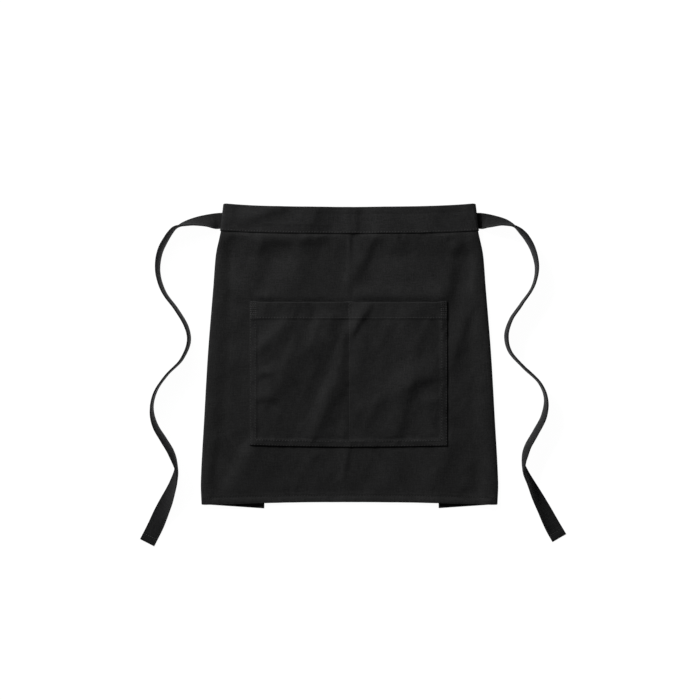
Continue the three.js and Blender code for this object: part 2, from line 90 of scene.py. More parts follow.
# Waistband
BAND_PLY = 0.0010
BAND_WALL = 0.0038
BAND_HEIGHT = 0.040
SEAM_DEPTH = 0.010
BAND_FOLD_LOFT = 0.0016
BAND_BLEND = 0.040
BAND_BEVEL = 0.0008
BAND_SEAM = 0.0020  # from the waistband's lower edge up to its stitches
BAND_GROOVE_Y = 0.2103  # a groove along all but its left third, from its turned edge inside
BAND_RIDGE_Y = 0.1950  # a ridge in its left part, from the panel's edge inside
# How far down from the top edge the rows of points lie that the waistband's walls are made of
BAND_ROWS = [0.0016, 0.003, 0.0055, 0.008, 0.0105, 0.0112, 0.012, 0.014, 0.0165, 0.019, 0.0215]
BAND_ROWS += [0.024, 0.0255, 0.0265, 0.0275, 0.029, 0.0305, 0.033, 0.0355, 0.0372, 0.038, 0.0388, 0.0396]
BAND_RIM = 0.0003  # of its lower edges

# Ties
TIE_WIDTH = 0.024
TIE_WALL = 0.0012
TIE_CURL = 0.0010  # how much thicker its curled edges make it look where it stands
TIE_ROOT = 0.014
TIE_TURN = 0.004
TIE_REACH = 0.120
TIE_DROP = 0.502
TIE_MARGIN = 0.0028  # from the waistband's lower edge up to a tie's
TIE_OUT = 0.0008  # from the waistband's side to where a tie's route starts
TIE_PUFF = 0.00032  # how far its face is puffed up
TIE_END_HEM = 0.013
TIE_END_TURNED = 0.0006  # what its turned end adds to the wall
TIE_SEAM = 0.0022  # from a tie's stitched edge to its stitches

# Pocket
LEFT_SIDE_SHIFT = 0.0003  # how far its sides lie to the left of the CAD's
RIGHT_SIDE_SHIFT = 0.0027
POCKET_LEFT = pocket_box[0].x - LEFT_SIDE_SHIFT
POCKET_RIGHT = pocket_box[1].x - RIGHT_SIDE_SHIFT
POCKET_TOP = pocket_box[1].y
POCKET_BOTTOM = pocket_box[0].y
POCKET_DEPTH = POCKET_TOP - POCKET_BOTTOM
POCKET_CROWN = 0.0035
POCKET_LIFT = 0.0002  # off the panel, besides the clearance and the crown
MOUTH_SAG = 0.0013  # how far its mouth sags between the sewn boxes and bar
SAG_REACH = 0.012
FOOT_RISE_LEFT = 0.0030  # how far its bottom corners lie above the bottom's middle
FOOT_RISE_RIGHT = 0.0020
FOOT_REACH = 0.060
POCKET_HEM = 0.0279  # from the mouth down to the turned hem's edge
POCKET_HEM_SEAM = 0.0248  # from the mouth down to its stitches
POCKET_TURN = 0.0105  # how far its sides and bottom are turned under
OUTER_SEAM = 0.0017  # from the pocket's edge to the first row of stitches
INNER_SEAM = 0.0087  # and to the second
BOX_WIDTH = 0.0098  # of the sewn boxes at the mouth's corners
BOX_HEIGHT = 0.0268
BAR_WIDTH = 0.0046  # of the sewn bar in the mouth's middle
BAR_TOP = 0.0015
BAR_HEIGHT = 0.0205
BOX_EDGE = 0.0014  # from the pocket's side to a sewn box
BOX_TOP = 0.0016
BOX_SINK = 0.0002

# Stitches. A row's size is its pitch and its stitches' length.
ROW = (0.0043, 0.0022)
HEM_ROW = (0.0042, 0.0024)
BAND_ROW = (0.0043, 0.0021)
BOX_ROW = (0.0029, 0.0017)
DIVIDER_ROW = (0.0040, 0.0014)
TIE_ROW = (0.0036, 0.0027)
BOX_ZIGZAG = (math.radians(40), 0.0031)  # its stitches' lean and the gap between them
BAR_ZIGZAG = (math.radians(38), 0.0026)
SLANT = 0.6  # radians that a stitch turns from its row
THREAD = 0.00036  # radius
PLACE_SWAY = 0.00012
TURN_SWAY = 0.12
LENGTH_SWAY = 0.08

# Gathers below the waistband's middle
GATHERS_X = 0.008
GATHERS_WIDTH = 0.045
GATHERS_DROP = 0.036
GATHERS_RISE = 0.00055

# What seams press into the cloth or push out of it: how deep, and how wide
HEM_GROOVE = (0.0004, 0.0012)
BAND_RIDGE = (0.0003, 0.0022)
BAND_GROOVE = (0.0003, 0.0012)
POCKET_GROOVE = (0.0003, 0.0008)
DIVIDER_GROOVE = (0.00015, 0.0011)
TIE_GROOVE = (0.00022, 0.0007)
TIE_END_GROOVE = (0.0003, 0.0008)

# The camera, straight above the middle of the photograph's frame
VIEW_WIDTH = 1.05
VIEW_HEIGHT = 2.4
VIEW_CENTRE = (0.00075, 0.00675)
VIEW_PLANE = 0.003  # the height at which VIEW_WIDTH fits the frame
SENSOR = 36


def table(columns, rows):
    """Rows with named columns."""
    return [dict(zip(columns.split(), row)) for row in rows]


# Half the front's width, as a share of HALF_WIDTH, at shares of the way down
OUTLINE = table("down half", [
    (0, 0.846),
    (0.085, 0.867),
    (0.165, 0.896),
    (0.275, 0.914),
    (0.49, 0.949),
    (0.71, 0.975),
    (0.925, 0.998),
    (1, 0.993),
])

# Creases: how far apart they lie across and along, their height, and how far they reach from their line
CREASES = {row["name"]: row for row in table("name across along height seed reach", [
    ("wide", 0.021, 0.060, 0.00042, 3, math.inf),
    ("narrow", 0.0095, 0.022, 0.00022, 5, math.inf),
    ("mottle", 0.0055, 0.006, 0.00007, 8, math.inf),
    ("gathers", 0.0052, 0.05, GATHERS_RISE, 14, GATHERS_DROP),
    ("panel_top", 0.006, 0.02, 0.00035, 11, 0.012),
    ("panel_hem", 0.009, 0.03, 0.0004, 12, 0.012),
    ("band_seam", 0.007, 0.02, 0.0002, 13, 0.006),
    ("pocket_strip", 0.0065, 0.0065, 0.00045, 21, 0.005),
    ("pocket_seam", 0.007, 0.007, 0.00022, 24, 0.009),
    ("pocket_hem", 0.006, 0.03, 0.00018, 22, 0.008),
    ("pocket_flat", 0.014, 0.05, 0.0005, 25, math.inf),
    ("divider", 0.02, 0.006, 0.0002, 23, 0.006),
    ("tie", 0.016, 0.012, 0.00022, 0, math.inf),
    ("tie_seam", 0.005, 0.01, 0.0001, 1, 0.004),
])}

LEVEL = 0.35  # the steepest slope of a crest that counts as level

# Soft folds, in millimetres. Each is a crest through two or more places. A place gives x, y, the height
# and how far the crest's left or upper flank and its other flank reach. What it leaves out is as at the
# fold's first place.
PANEL_FOLDS = [
    [(-182, 179, 1.1, 7, 7), (-158, 179)],
    [(-146, 172, 0.8, 8, 9), (-40, 174)],
    [(-112, 178, 0.5, 14, 12), (-130, 164, 0.6)],
    [(-100, 171, 0.7, 7, 7), (-93, 171)],
    [(-73, 173, 0.8, 7, 7), (-66, 173)],
    [(-46, 176, 0.7, 7, 6), (-40, 176)],
    [(-136, 158, 2.8, 28, 16), (-150, 104, 3.3)],
    [(-60, 152, 2.6, 24, 44), (-80, 130, 3.2), (-113, 90, 3.2, 20, 36)],
    [(-42, 112, 0.8, 14, 16), (-55, 90)],
    [(34, 172, 1.8, 15, 8), (21, 146, 2.1, 16, 8.5), (3, 112, 1.8, 16, 10)],
    [(62, 166, 0.9, 12, 9), (74, 158)],
    [(96, 146, 0.8, 20, 20), (72, 118)],
    [(0, 182, 0.5, 5, 3.5), (-1, 84)],
    [(-172, 60, 0.9, 12, 12), (-180, -30), (-174, -110, 0.8)],
    [(156, 160, 2.2, 26, 12), (145, 86)],
    [
        (196, 138, 1.0, 16, 14), (184, 90, 2.0, 16, 12), (172, 46, 2.6, 14, 9),
        (158, 6, 2.1, 14, 9), (153, -16, 1.0, 14, 10),
    ],
    [(186, 171, 1.0, 11, 12), (160, 160, 1.1)],
    [(128, 160, 0.9, 24, 22), (108, 122, 1.0)],
    [(160, 181, 0.9, 5, 5), (146, 176)],
    [(-145, -138, 3.2, 11, 20), (-160, -169, 4.6, 15, 26), (-173, -204, 4.0, 21, 30)],
    [(-196, -128, 1.2, 12, 12), (-214, -178)],
    [(-2, -142, 1.5, 9, 4), (-10, -188, 1.2, 8)],
    [(-50, -152, 0.5, 6, 4), (-60, -164)],
    [(146, -138, 2.3, 15, 13), (136, -174, 1.8, 17, 20), (128, -212, 1.4, 20, 26)],
    [(183, -160, 0.6, 9, 8), (178, -196)],
    [(-60, -150, 0.8, 16, 14), (-84, -196)],
    [(70, -148, 0.7, 14, 16), (52, -200)],
]

# Where the panel dips into the pocket's mouth
MOUTH_FOLDS = [
    [(14, 88, 2.0, 16, 8), (136, 87)],
    [(22, 90, 0.6, 10, 8), (70, 88)],
    [(-136, 86.5, 1.6, 8, 5), (-124, 87)],
    [(-120, 85.5, 0.8, 10, 5), (-10, 85.5)],
]

BAND_FOLDS = [
    [(-104, 219, 2.4, 12, 9), (-145, 206, 2.6, 14, 10)],
    [(-128, 200, 0.5, 14, 9), (-134, 184)],
    [(-50, 213, 0.8, 8, 6), (-55, 197)],
    [(-1, 222, 0.7, 8, 4), (-2, 188)],
    [(9, 215, 1.3, 13, 5), (8, 182)],
    [(43, 214, 0.5, 10, 8), (41, 184)],
    [(132, 216, 0.8, 16, 9), (118, 184)],
    [(172, 212, 0.6, 8, 7), (164, 196)],
    [(-178, 206, 0.6, 10, 9), (-160, 200)],
]

POCKET_FOLDS = [
    [
        (14, 52, 1.8, 13, 16), (1, 34, 2.8, 12, 22), (-8, 12, 3.0, 12, 28),
        (-12, -12, 3.0, 13, 26), (-19, -43, 3.2, 14, 18), (-33, -68, 3.2, 14, 14),
        (-45, -100, 3.0, 14, 14), (-50, -122, 2.8, 14, 14),
    ],
    [(-24, 54, 1.6, 12, 9), (-28, 22, 1.4, 12, 10)],
    [(-43, 46, 2.2, 9, 28), (-56, 15, 2.1)],
    [(-94, 46, 2.3, 11, 19), (-128, 14, 2.3, 11, 17)],
    [(-77, 24, 2.4, 12, 28), (-87, -6, 2.7, 13), (-102, -30, 2.2, 14, 26)],
    [(-122, -26, 1.9, 8, 7), (-136, -29)],
    [(-120, -63, 2.6, 15, 9), (-138, -65, 2.6, 15, 8)],
    [(-6, -88, 0.6, 7, 8), (-9, -122, 1.0)],
    [(33, 77, 2.0, 16, 5), (19, 55, 2.2, 14, 4.5), (5, 34, 2.0, 12)],
    [(22, 30, 1.0, 9, 12), (14, -30, 1.3, 11)],
    [(136, -31, 2.4, 24, 10), (97, -36, 3.2, 24, 12), (64, -60, 2.6, 21, 20), (32, -80, 1.6, 16, 18)],
    [(87, -50, 2.6, 16, 12), (70, -116, 2.4)],
    [(118, -70, 1.4, 8, 8), (134, -69)],
    [(136, -84, 0.9, 12, 12), (122, -122)],
    [(58, 42, 0.6, 10, 10), (36, 2)],
    [(112, 46, 0.5, 12, 11), (94, 8)],
]

# Where a tie goes, as in the part's source: out is a share of TIE_REACH and down a share of TIE_DROP.
# root and tip are how steeply its cloth stands at its two edges, in degrees.
LEFT_TIE_ROUTE = table("out down root tip", [
    (0, 0, 0, 0),
    (0.07, 0.001, 0, 0),
    (0.205, 0.006, 0, 65),
    (0.342, 0.014, 15, 90),
    (0.436, 0.023, 35, 97),
    (0.523, 0.035, 60, 100),
    (0.586, 0.05, 80, 108),
    (0.668, 0.08, 85, 115),
    (0.75, 0.122, 86, 116),
    (0.778, 0.176, 85, 112),
    (0.711, 0.234, 86, 106),
    (0.548, 0.289, 86, 106),
    (0.42, 0.343, 86, 106),
    (0.396, 0.385, 86, 103),
    (0.487, 0.438, 88, 96),
    (0.682, 0.486, 90, 90),
    (0.816, 0.534, 90, 92),
    (0.862, 0.582, 88, 97),
    (0.813, 0.63, 84, 118),
    (0.692, 0.677, 82, 131),
    (0.612, 0.709, 80, 134),
    (0.577, 0.738, 68, 134),
    (0.593, 0.77, 42, 114),
    (0.64, 0.797, 20, 98),
    (0.705, 0.827, 8, 78),
    (0.763, 0.851, 2, 55),
    (0.848, 0.889, 0, 26),
    (0.93, 0.931, 0, 0),
    (1.026, 0.976, 0, 0),
])

RIGHT_TIE_ROUTE = table("out down root tip", [
    (0, 0, 0, 0),
    (0.07, 0.001, 0, 0),
    (0.167, 0.005, 0, 50),
    (0.316, 0.015, 15, 92),
    (0.395, 0.024, 35, 97),
    (0.465, 0.037, 60, 102),
    (0.518, 0.056, 80, 116),
    (0.595, 0.08, 84, 122),
    (0.678, 0.116, 85, 116),
    (0.73, 0.17, 87, 102),
    (0.682, 0.223, 88, 96),
    (0.546, 0.271, 87, 100),
    (0.408, 0.319, 86, 104),
    (0.347, 0.367, 86, 107),
    (0.392, 0.414, 87, 101),
    (0.566, 0.462, 88, 98),
    (0.773, 0.51, 89, 94),
    (0.843, 0.555, 88, 101),
    (0.807, 0.606, 84, 120),
    (0.703, 0.653, 82, 128),
    (0.598, 0.698, 78, 136),
    (0.572, 0.725, 70, 138),
    (0.588, 0.748, 52, 126),
    (0.633, 0.77, 32, 106),
    (0.703, 0.797, 20, 95),
    (0.8, 0.833, 6, 74),
    (0.92, 0.88, 1, 48),
    (1.011, 0.918, 0, 22),
    (1.073, 0.943, 0, 0),
    (1.117, 0.961, 0, 0),
])


def step(start, end, x):
    """0 up to start, 1 past end and smooth between; start may be the larger."""
    t = np.clip((x - start) / (end - start), 0, 1)
    return t * t * (3 - 2 * t)


def bell(x, width):
    return np.exp(-((x / width) ** 2))


def blend(a, b, share):
    return a + (b - a) * share


def unit(v):
    return v / np.maximum(np.linalg.norm(v, axis=-1, keepdims=True), 1e-12)


def run_along(points):
    """How far along its line each point lies."""
    return np.concatenate([[0], np.cumsum(np.linalg.norm(np.diff(points, axis=0), axis=-1))])


def at_run(at, run, points):
    """Places at distances along a line of points."""
    return np.stack([np.interp(at, run, column) for column in points.T], 1)


def read(rows, key, column, at):
    """A smooth curve through one column of a table."""
    k = np.array([r[key] for r in rows], float)
    v = np.array([r[column] for r in rows], float)
    slope = np.empty_like(v)
    slope[1:-1] = (v[2:] - v[:-2]) / (k[2:] - k[:-2])
    slope[0] = (v[1] - v[0]) / (k[1] - k[0])
    slope[-1] = (v[-1] - v[-2]) / (k[-1] - k[-2])
    x = np.clip(at, k[0], k[-1])
    i = np.clip(np.searchsorted(k, x, "right") - 1, 0, len(k) - 2)
    span = k[i + 1] - k[i]
    t = (x - k[i]) / span
    ends = (2 * t + 1) * (1 - t) ** 2 * v[i] + t * t * (3 - 2 * t) * v[i + 1]
    return ends + t * (1 - t) * span * ((1 - t) * slope[i] - t * slope[i + 1])


def soft_noise(x, y, seed, size=96):
    """Smooth random values from -1 to 1 that change over 1 in x and y."""
    lattice = np.random.default_rng(seed).uniform(-1, 1, (size, size))
    x0, y0 = np.floor(x).astype(int), np.floor(y).astype(int)
    fx, fy = (f**3 * (f * (f * 6 - 15) + 10) for f in (x - x0, y - y0))
    a, b = x0 % size, y0 % size
    c, d = (a + 1) % size, (b + 1) % size
    return blend(blend(lattice[a, b], lattice[c, b], fx), blend(lattice[a, d], lattice[c, d], fx), fy)


def creases(kind, x, y, from_line=0.0, seed=0):
    """Creases of one kind, which run out away from their line."""
    row = CREASES[kind]
    noise = soft_noise(x / row["across"], y / row["along"], row["seed"] + seed)
    return row["height"] * noise * bell(from_line, row["reach"])


def groove(size, from_line):
    depth, width = size
    return depth * bell(from_line, width)


def crest_height(start, end, x, y):
    """Height of one straight stretch of a fold's crest."""
    dx, dy = end[0] - start[0], end[1] - start[1]
    length = math.hypot(dx, dy)
    px, py = x * 1000 - start[0], y * 1000 - start[1]
    along = (px * dx + py * dy) / length
    # Across is positive on the side that faces the left of the apron, or its top for a level crest.
    level = abs(dy) <= LEVEL * abs(dx)
    sign = (1 if dx > 0 else -1) if level else (1 if dy > 0 else -1)
    across = sign * (py * dx - px * dy) / length
    t = np.clip(along / length, 0, 1)
    height, left, right = (start[k] + (end[k] - start[k]) * t for k in (2, 3, 4))
    over = np.maximum(np.maximum(-along, along - length), 0)
    return height * bell(across, np.where(across > 0, left, right)) * bell(over, (left + right) / 2) / 1000


def fold_height(folds, x, y):
    """The sum of a table's folds at places on the apron."""
    total = np.zeros(np.broadcast(x, y).shape)
    for fold in folds:
        places = [(*place, *fold[0][len(place):]) for place in fold]
        stretches = [crest_height(a, b, x, y) for a, b in zip(places, places[1:])]
        total += np.maximum.reduce(stretches)
    return total


def band_share(down):
    return 1 - step(BAND_HEIGHT, BAND_HEIGHT + BAND_BLEND, down * LENGTH)


def bottom_hem(down):
    return step(HEM_WIDTH + 0.001, HEM_WIDTH, (1 - down) * LENGTH)


def half_width(down):
    return HALF_WIDTH * read(OUTLINE, "down", "half", down)


def flap_depth(side, down):
    at_hem = np.where(side < 0, LEFT_FLAP_AT_HEM, RIGHT_FLAP_AT_HEM)
    return FLAP_AT_TOP + (at_hem - FLAP_AT_TOP) * down


def layer_wall(down):
    return blend(CLOTH + TURNED * bottom_hem(down), BAND_WALL, band_share(down))


def flap_rise(down):
    return (TIE_WALL + CLEARANCE) * band_share(down)


def fold_top(down):
    b = band_share(down)
    flap_top = flap_rise(down) + blend(CLOTH + TURNED, BAND_WALL, b)
    stack = flap_top + CLEARANCE + layer_wall(down)
    return stack, stack + blend(FOLD_LOFT, BAND_FOLD_LOFT, b)


def bow(share, down):
    """How far a place lies above the level of the middle; share is 0 in the middle and 1 at a side."""
    share = np.abs(share)
    return blend(TOP_BOW * share**TOP_BOW_POWER, -HEM_BOW * share**2, down)


def wrinkles(x, y):
    """Fine creases that run from upper right to lower left, as the larger folds do."""
    along, across = 0.42 * x + 0.91 * y, 0.91 * x - 0.42 * y
    return creases("wide", across, along) + creases("narrow", across, along) + creases("mottle", x, y)


def never_less_than_nothing(height, softness=0.0002):
    return np.log1p(np.exp(np.minimum(height / softness, 60))) * softness


def front_relief(x, down, y):
    """What the front's folds, seams and creases add to its plain height."""
    bend = TOP_Y - down * LENGTH
    below_band = TOP_Y - BAND_HEIGHT - bend
    above_hem = (1 - down) * LENGTH
    on_panel = step(-0.001, 0.004, below_band)
    gathers = creases("gathers", x, y, below_band) + GATHERS_RISE * bell(below_band, GATHERS_DROP)
    panel = fold_height(PANEL_FOLDS, x, y) + wrinkles(x, y)
    panel += gathers * bell(x - GATHERS_X, GATHERS_WIDTH)
    panel += HEM_RISE * step(HEM_SEAM, 0.0025, above_hem)
    panel += creases("panel_top", x, y, below_band)
    panel += creases("panel_hem", x, y, above_hem - 0.004)
    panel -= groove(HEM_GROOVE, above_hem - HEM_SEAM)
    band = fold_height(BAND_FOLDS, x, bend) + 0.5 * wrinkles(x, y)
    band += groove(BAND_RIDGE, bend - BAND_RIDGE_Y) * bell(x + 0.076, 0.055)
    band -= groove(BAND_GROOVE, bend - BAND_GROOVE_Y) * step(-0.07, -0.05, x)
    band += creases("band_seam", x, y, below_band + BAND_SEAM)
    return never_less_than_nothing(0.0005 + blend(band, panel, on_panel))


def front_height(x, down, y):
    """Height of the front's outer face."""
    side = np.where(x < 0, -1, 1)
    b = band_share(down)
    half = half_width(down)
    edge = half - flap_depth(side, down) - b * (TIE_TURN + 2 * TIE_WALL + CLEARANCE)
    distance = np.abs(x)
    stack, fold = fold_top(down)
    on_flap = step(edge - STEP_RUN, edge - CLOTH, distance)
    crest = half - FOLD_REACH
    loft_run = blend(LOFT_RUN_AT_TOP, LOFT_RUN_AT_HEM, step(0.1, 0.5, down))
    near_corner = step(0.74, 0.86, down) * step(0.97, 0.89, down) * (x < 0)
    loft_run = blend(loft_run, LOFT_RUN_AT_CORNER, near_corner)
    on_fold = step(crest - loft_run, crest, distance)
    floor = layer_wall(down)
    lift = (stack - floor) * on_flap + (fold - stack) * on_fold
    calm = step(half - CALM_RIM[0], half - CALM_RIM[1], distance)
    return floor + lift + calm * front_relief(x, down, y)


def outer_face(u, down):
    """Points of the outer face. u runs from the left flap's free edge at 0, round the left fold from
    1 to 2, over the front from 2 to 3, round the right fold from 3 to 4 to the right flap's edge at 5."""
    side = np.where(u < 2.5, -1.0, 1.0)
    w = np.where(u < 2.5, u, 5 - u)
    half = half_width(down)
    rise = flap_rise(down)
    y = TOP_Y - down * LENGTH
    corner_y = y + bow(1, down)
    fold_half = (fold_top(down)[1] - rise) / 2
    reach = blend(FOLD_REACH, fold_half, band_share(down))
    inward = (1 - w) * (flap_depth(side, down) - reach) + reach
    tilt = blend(FLAP_TILT_AT_TOP, FLAP_TILT_AT_HEM, down)
    flap = np.stack([side * (half - inward), corner_y - tilt * (inward - reach), rise], -1)
    angle = math.pi * np.clip(w - 1, 0, 1)
    fold_x = side * (half - reach + reach * np.sin(angle))
    turn = np.stack([fold_x, corner_y, rise + fold_half * (1 - np.cos(angle))], -1)
    x = side * (half - reach) * (1 - 2 * (np.clip(w, 2, 3) - 2))
    front_y = y + bow(x / (half - reach), down)
    height = front_height(x, down, front_y) + fold_height(MOUTH_FOLDS, x, front_y)
    front = np.stack([x, front_y, height], -1)
    return np.where((w <= 1)[..., None], flap, np.where((w <= 2)[..., None], turn, front))


def face_normal(u, down):
    du, dd = 0.004, 0.0015
    along = outer_face(np.clip(u + du, 0, 5), down) - outer_face(np.clip(u - du, 0, 5), down)
    low, high = np.clip(down - dd, 0, 1), np.clip(down + dd, 0, 1)
    across = outer_face(u, high) - outer_face(u, low)
    return unit(np.cross(across, along))


def below_face(u, down, depth):
    return outer_face(u, down) - face_normal(u, down) * np.asarray(depth)[..., None]


def rounded(distance, radius=EDGE_ROUND):
    """How far a rounded edge has fallen at a distance from the very edge."""
    t = np.clip(distance / radius, 0, 1)
    return radius * (1 - np.sqrt(np.maximum(1 - (1 - t) ** 2, 0)))


def fine_near(length, base, fine, spots, reach):
    """Places from 0 to length, base apart, and fine apart within reach of some spots."""
    places = [0.0]
    while places[-1] < length:
        near = any(abs(places[-1] - s) < reach for s in spots)
        places.append(places[-1] + (fine if near else base))
    places = np.array(places)
    return places * (length / places[-1])


def on_table(grid):
    """The grid with nothing below the surface that the apron lies on."""
    grid[..., 2] = np.maximum(grid[..., 2], 0)
    return grid


def u_columns(front_steps, fold_steps, flap_steps):
    """Where the columns of a grid round both folds lie: see outer_face."""
    counts = (flap_steps, fold_steps, front_steps, fold_steps, flap_steps)
    parts = [k + np.linspace(0, 1, count, endpoint=False) for k, count in enumerate(counts)]
    return np.concatenate([*parts, [len(counts)]])


def add_object(name, data):
    item = bpy.data.objects.new(name, data)
    bpy.context.scene.collection.objects.link(item)
    return item


def make_object(name, points, faces, uv, material, smooth_angle=40):
    mesh = bpy.data.meshes.new(name)
    mesh.from_pydata(points.tolist(), [], faces)
    layer = mesh.uv_layers.new(name="cloth")
    index = np.empty(len(mesh.loops), np.int32)
    mesh.loops.foreach_get("vertex_index", index)
    layer.uv.foreach_set("vector", uv[index].astype(np.float32).ravel())
    mesh.shade_smooth()
    mesh.set_sharp_from_angle(angle=math.radians(smooth_angle))
    mesh.materials.append(material)
    mesh.validate()
    piece = add_object(name, mesh)
    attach(piece, BODY)
    return piece


def wall_faces(rows, cols):
    """Quads of a closed wall between an upper and a lower grid."""
    up = np.arange(rows * cols).reshape(rows, cols)
    low = up + rows * cols
    corners = [
        (up[:-1, :-1], up[1:, :-1], up[1:, 1:], up[:-1, 1:]),
        (low[:-1, :-1], low[:-1, 1:], low[1:, 1:], low[1:, :-1]),
        (up[:-1, 0], low[:-1, 0], low[1:, 0], up[1:, 0]),
        (up[:-1, -1], up[1:, -1], low[1:, -1], low[:-1, -1]),
        (up[0, :-1], up[0, 1:], low[0, 1:], low[0, :-1]),
        (up[-1, :-1], low[-1, :-1], low[-1, 1:], up[-1, 1:]),
    ]
    return np.concatenate([np.stack(c, -1).reshape(-1, 4) for c in corners]).tolist()


def make_wall(name, upper, lower, uv, material):
    rows, cols = upper.shape[:2]
    points = np.concatenate([upper.reshape(-1, 3), lower.reshape(-1, 3)])
    both = np.concatenate([uv.reshape(-1, 2), uv.reshape(-1, 2)])
    return make_object(name, points, wall_faces(rows, cols), both, material)


def make_ring(name, rings, uv, material):
    """A closed body through rings of points, its two ends filled."""
    count, sides = rings.shape[:2]
    i, j = np.meshgrid(np.arange(count - 1), np.arange(sides), indexing="ij")
    a = (i * sides + j).ravel()
    b = (i * sides + (j + 1) % sides).ravel()
    faces = np.stack([a, a + sides, b + sides, b], 1).tolist()
    faces.append(list(range(sides)))
    faces.append([(count - 1) * sides + k for k in range(sides - 1, -1, -1)])
    return make_object(name, rings.reshape(-1, 3), faces, uv.reshape(-1, 2), material)


def cloth_uv(grid, down):
    """Where each point lies on the flat cloth: across from the middle, and down."""
    steps = np.linalg.norm(np.diff(grid, axis=1), axis=-1)
    across = np.concatenate([np.zeros((len(grid), 1)), np.cumsum(steps, axis=1)], axis=1)
    across -= across[:, [grid.shape[1] // 2]]
    return np.stack([across, -down * LENGTH], -1)


def make_panel(material):
    start = (BAND_HEIGHT - SEAM_DEPTH) / LENGTH
    length = LENGTH * (1 - start)
    hem = [length, length - HEM_SEAM, length - HEM_WIDTH, SEAM_DEPTH]
    rows = start + fine_near(length, 0.0026, 0.0006, hem, 0.0012) / LENGTH
    u, down = np.meshgrid(u_columns(190, 12, 12), rows)
    side = np.where(u < 2.5, -1, 1)
    from_edge = np.minimum(u, 5 - u) * flap_depth(side, down)
    share = band_share(down)
    hem_share = np.maximum(step(HEM_WIDTH + 0.002, HEM_WIDTH, from_edge) * (1 - share), bottom_hem(down))
    wall = CLOTH + TURNED * hem_share
    inset = (BAND_PLY + CLEARANCE) * share
    drop = rounded((1 - down) * LENGTH, HEM_ROUND)
    upper = on_table(below_face(u, down, inset + drop))
    lower = on_table(below_face(u, down, inset + wall - drop))
    return make_wall("panel_cloth", upper, lower, cloth_uv(upper, down), material)


def make_waistband(material):
    seam = BAND_HEIGHT - SEAM_DEPTH
    angles = np.radians(np.linspace(0, 90, 5))
    top = [(BAND_BEVEL * 2 * (1 - math.sin(a)), BAND_BEVEL * 2 * (1 - math.cos(a))) for a in angles[::-1]]
    places = [(x, BAND_WALL - z) for x, z in top]
    places += [(x, z) for x, z in top[::-1]]
    places += [(d, 0.0) for d in BAND_ROWS]
    places += [(BAND_HEIGHT, BAND_RIM), (BAND_HEIGHT, BAND_PLY)]
    inner = [seam + 0.003, seam, seam / 2, BAND_PLY]
    places += [(d, BAND_PLY) for d in inner]
    places += [(d, BAND_WALL - BAND_PLY) for d in inner[::-1]]
    places += [(BAND_HEIGHT, BAND_WALL - BAND_PLY), (BAND_HEIGHT, BAND_WALL - BAND_RIM)]
    places += [(d, BAND_WALL) for d in BAND_ROWS[::-2]]
    outline = np.array(places)
    columns = u_columns(190, 14, 40)
    u = np.repeat(columns[:, None], len(outline), 1)
    down = np.repeat(outline[None, :, 0], len(columns), 0) / LENGTH
    depth = np.repeat(outline[None, :, 1], len(columns), 0)
    rings = on_table(below_face(u, down, depth))
    uv = np.stack(np.broadcast_arrays(run_along(rings[:, 8])[:, None], run_along(outline)[None, :]), -1)
    return make_ring("waistband_cloth", rings, uv, material)


def down_at(x, y):
    """Share of the way down of a place on the front, found by a few steps."""
    down = (TOP_Y - y) / LENGTH
    for _ in range(4):
        down = (TOP_Y - y + bow(x / (half_width(down) - FOLD_REACH), down)) / LENGTH
    return down


def panel_top(x, y):
    """Height of the panel's outer face, with the dip into the pocket's mouth."""
    return front_height(x, down_at(x, y), y) + fold_height(MOUTH_FOLDS, x, y)


def pocket_gap(x, y):
    across = np.abs((x - POCKET_LEFT) / (POCKET_RIGHT - POCKET_LEFT) * 2 - 1)
    across = np.abs(across * 2 - 1)
    depth = (POCKET_TOP - y) / POCKET_DEPTH
    return CLEARANCE + POCKET_CROWN * (1 - across**3) * (1 - np.clip(depth, 0, 1) ** 1.5)


def from_pocket_sides(x):
    return np.minimum(x - POCKET_LEFT, POCKET_RIGHT - x)


def pocket_mouth(x):
    """How far up the pocket's top edge lies."""
    sewn = bell(x, 0.006) + step(BOX_WIDTH + 0.004, BOX_WIDTH - 0.001, from_pocket_sides(x))
    return POCKET_TOP - MOUTH_SAG * (1 - sewn)


def pocket_foot(x):
    """How far up the pocket's bottom edge lies."""
    left, right = FOOT_RISE_LEFT * (x / POCKET_LEFT) ** 2, FOOT_RISE_RIGHT * (x / POCKET_RIGHT) ** 2
    return POCKET_BOTTOM + np.where(x < 0, left, right)


def on_pocket_hem(from_top):
    return step(POCKET_HEM + 0.0006, POCKET_HEM - 0.0006, from_top)


def side_rows(from_side, from_bottom, from_top):
    """The two grooves down a side. The inner one starts below the sewn box."""
    outer = groove(POCKET_GROOVE, from_side - OUTER_SEAM) * step(0, 0.003, from_top)
    inner = groove(POCKET_GROOVE, from_side - INNER_SEAM) * step(0, 0.003, from_top - BOX_HEIGHT)
    outer *= step(OUTER_SEAM - 0.002, OUTER_SEAM, from_bottom)
    return outer + inner * step(INNER_SEAM - 0.002, INNER_SEAM, from_bottom)


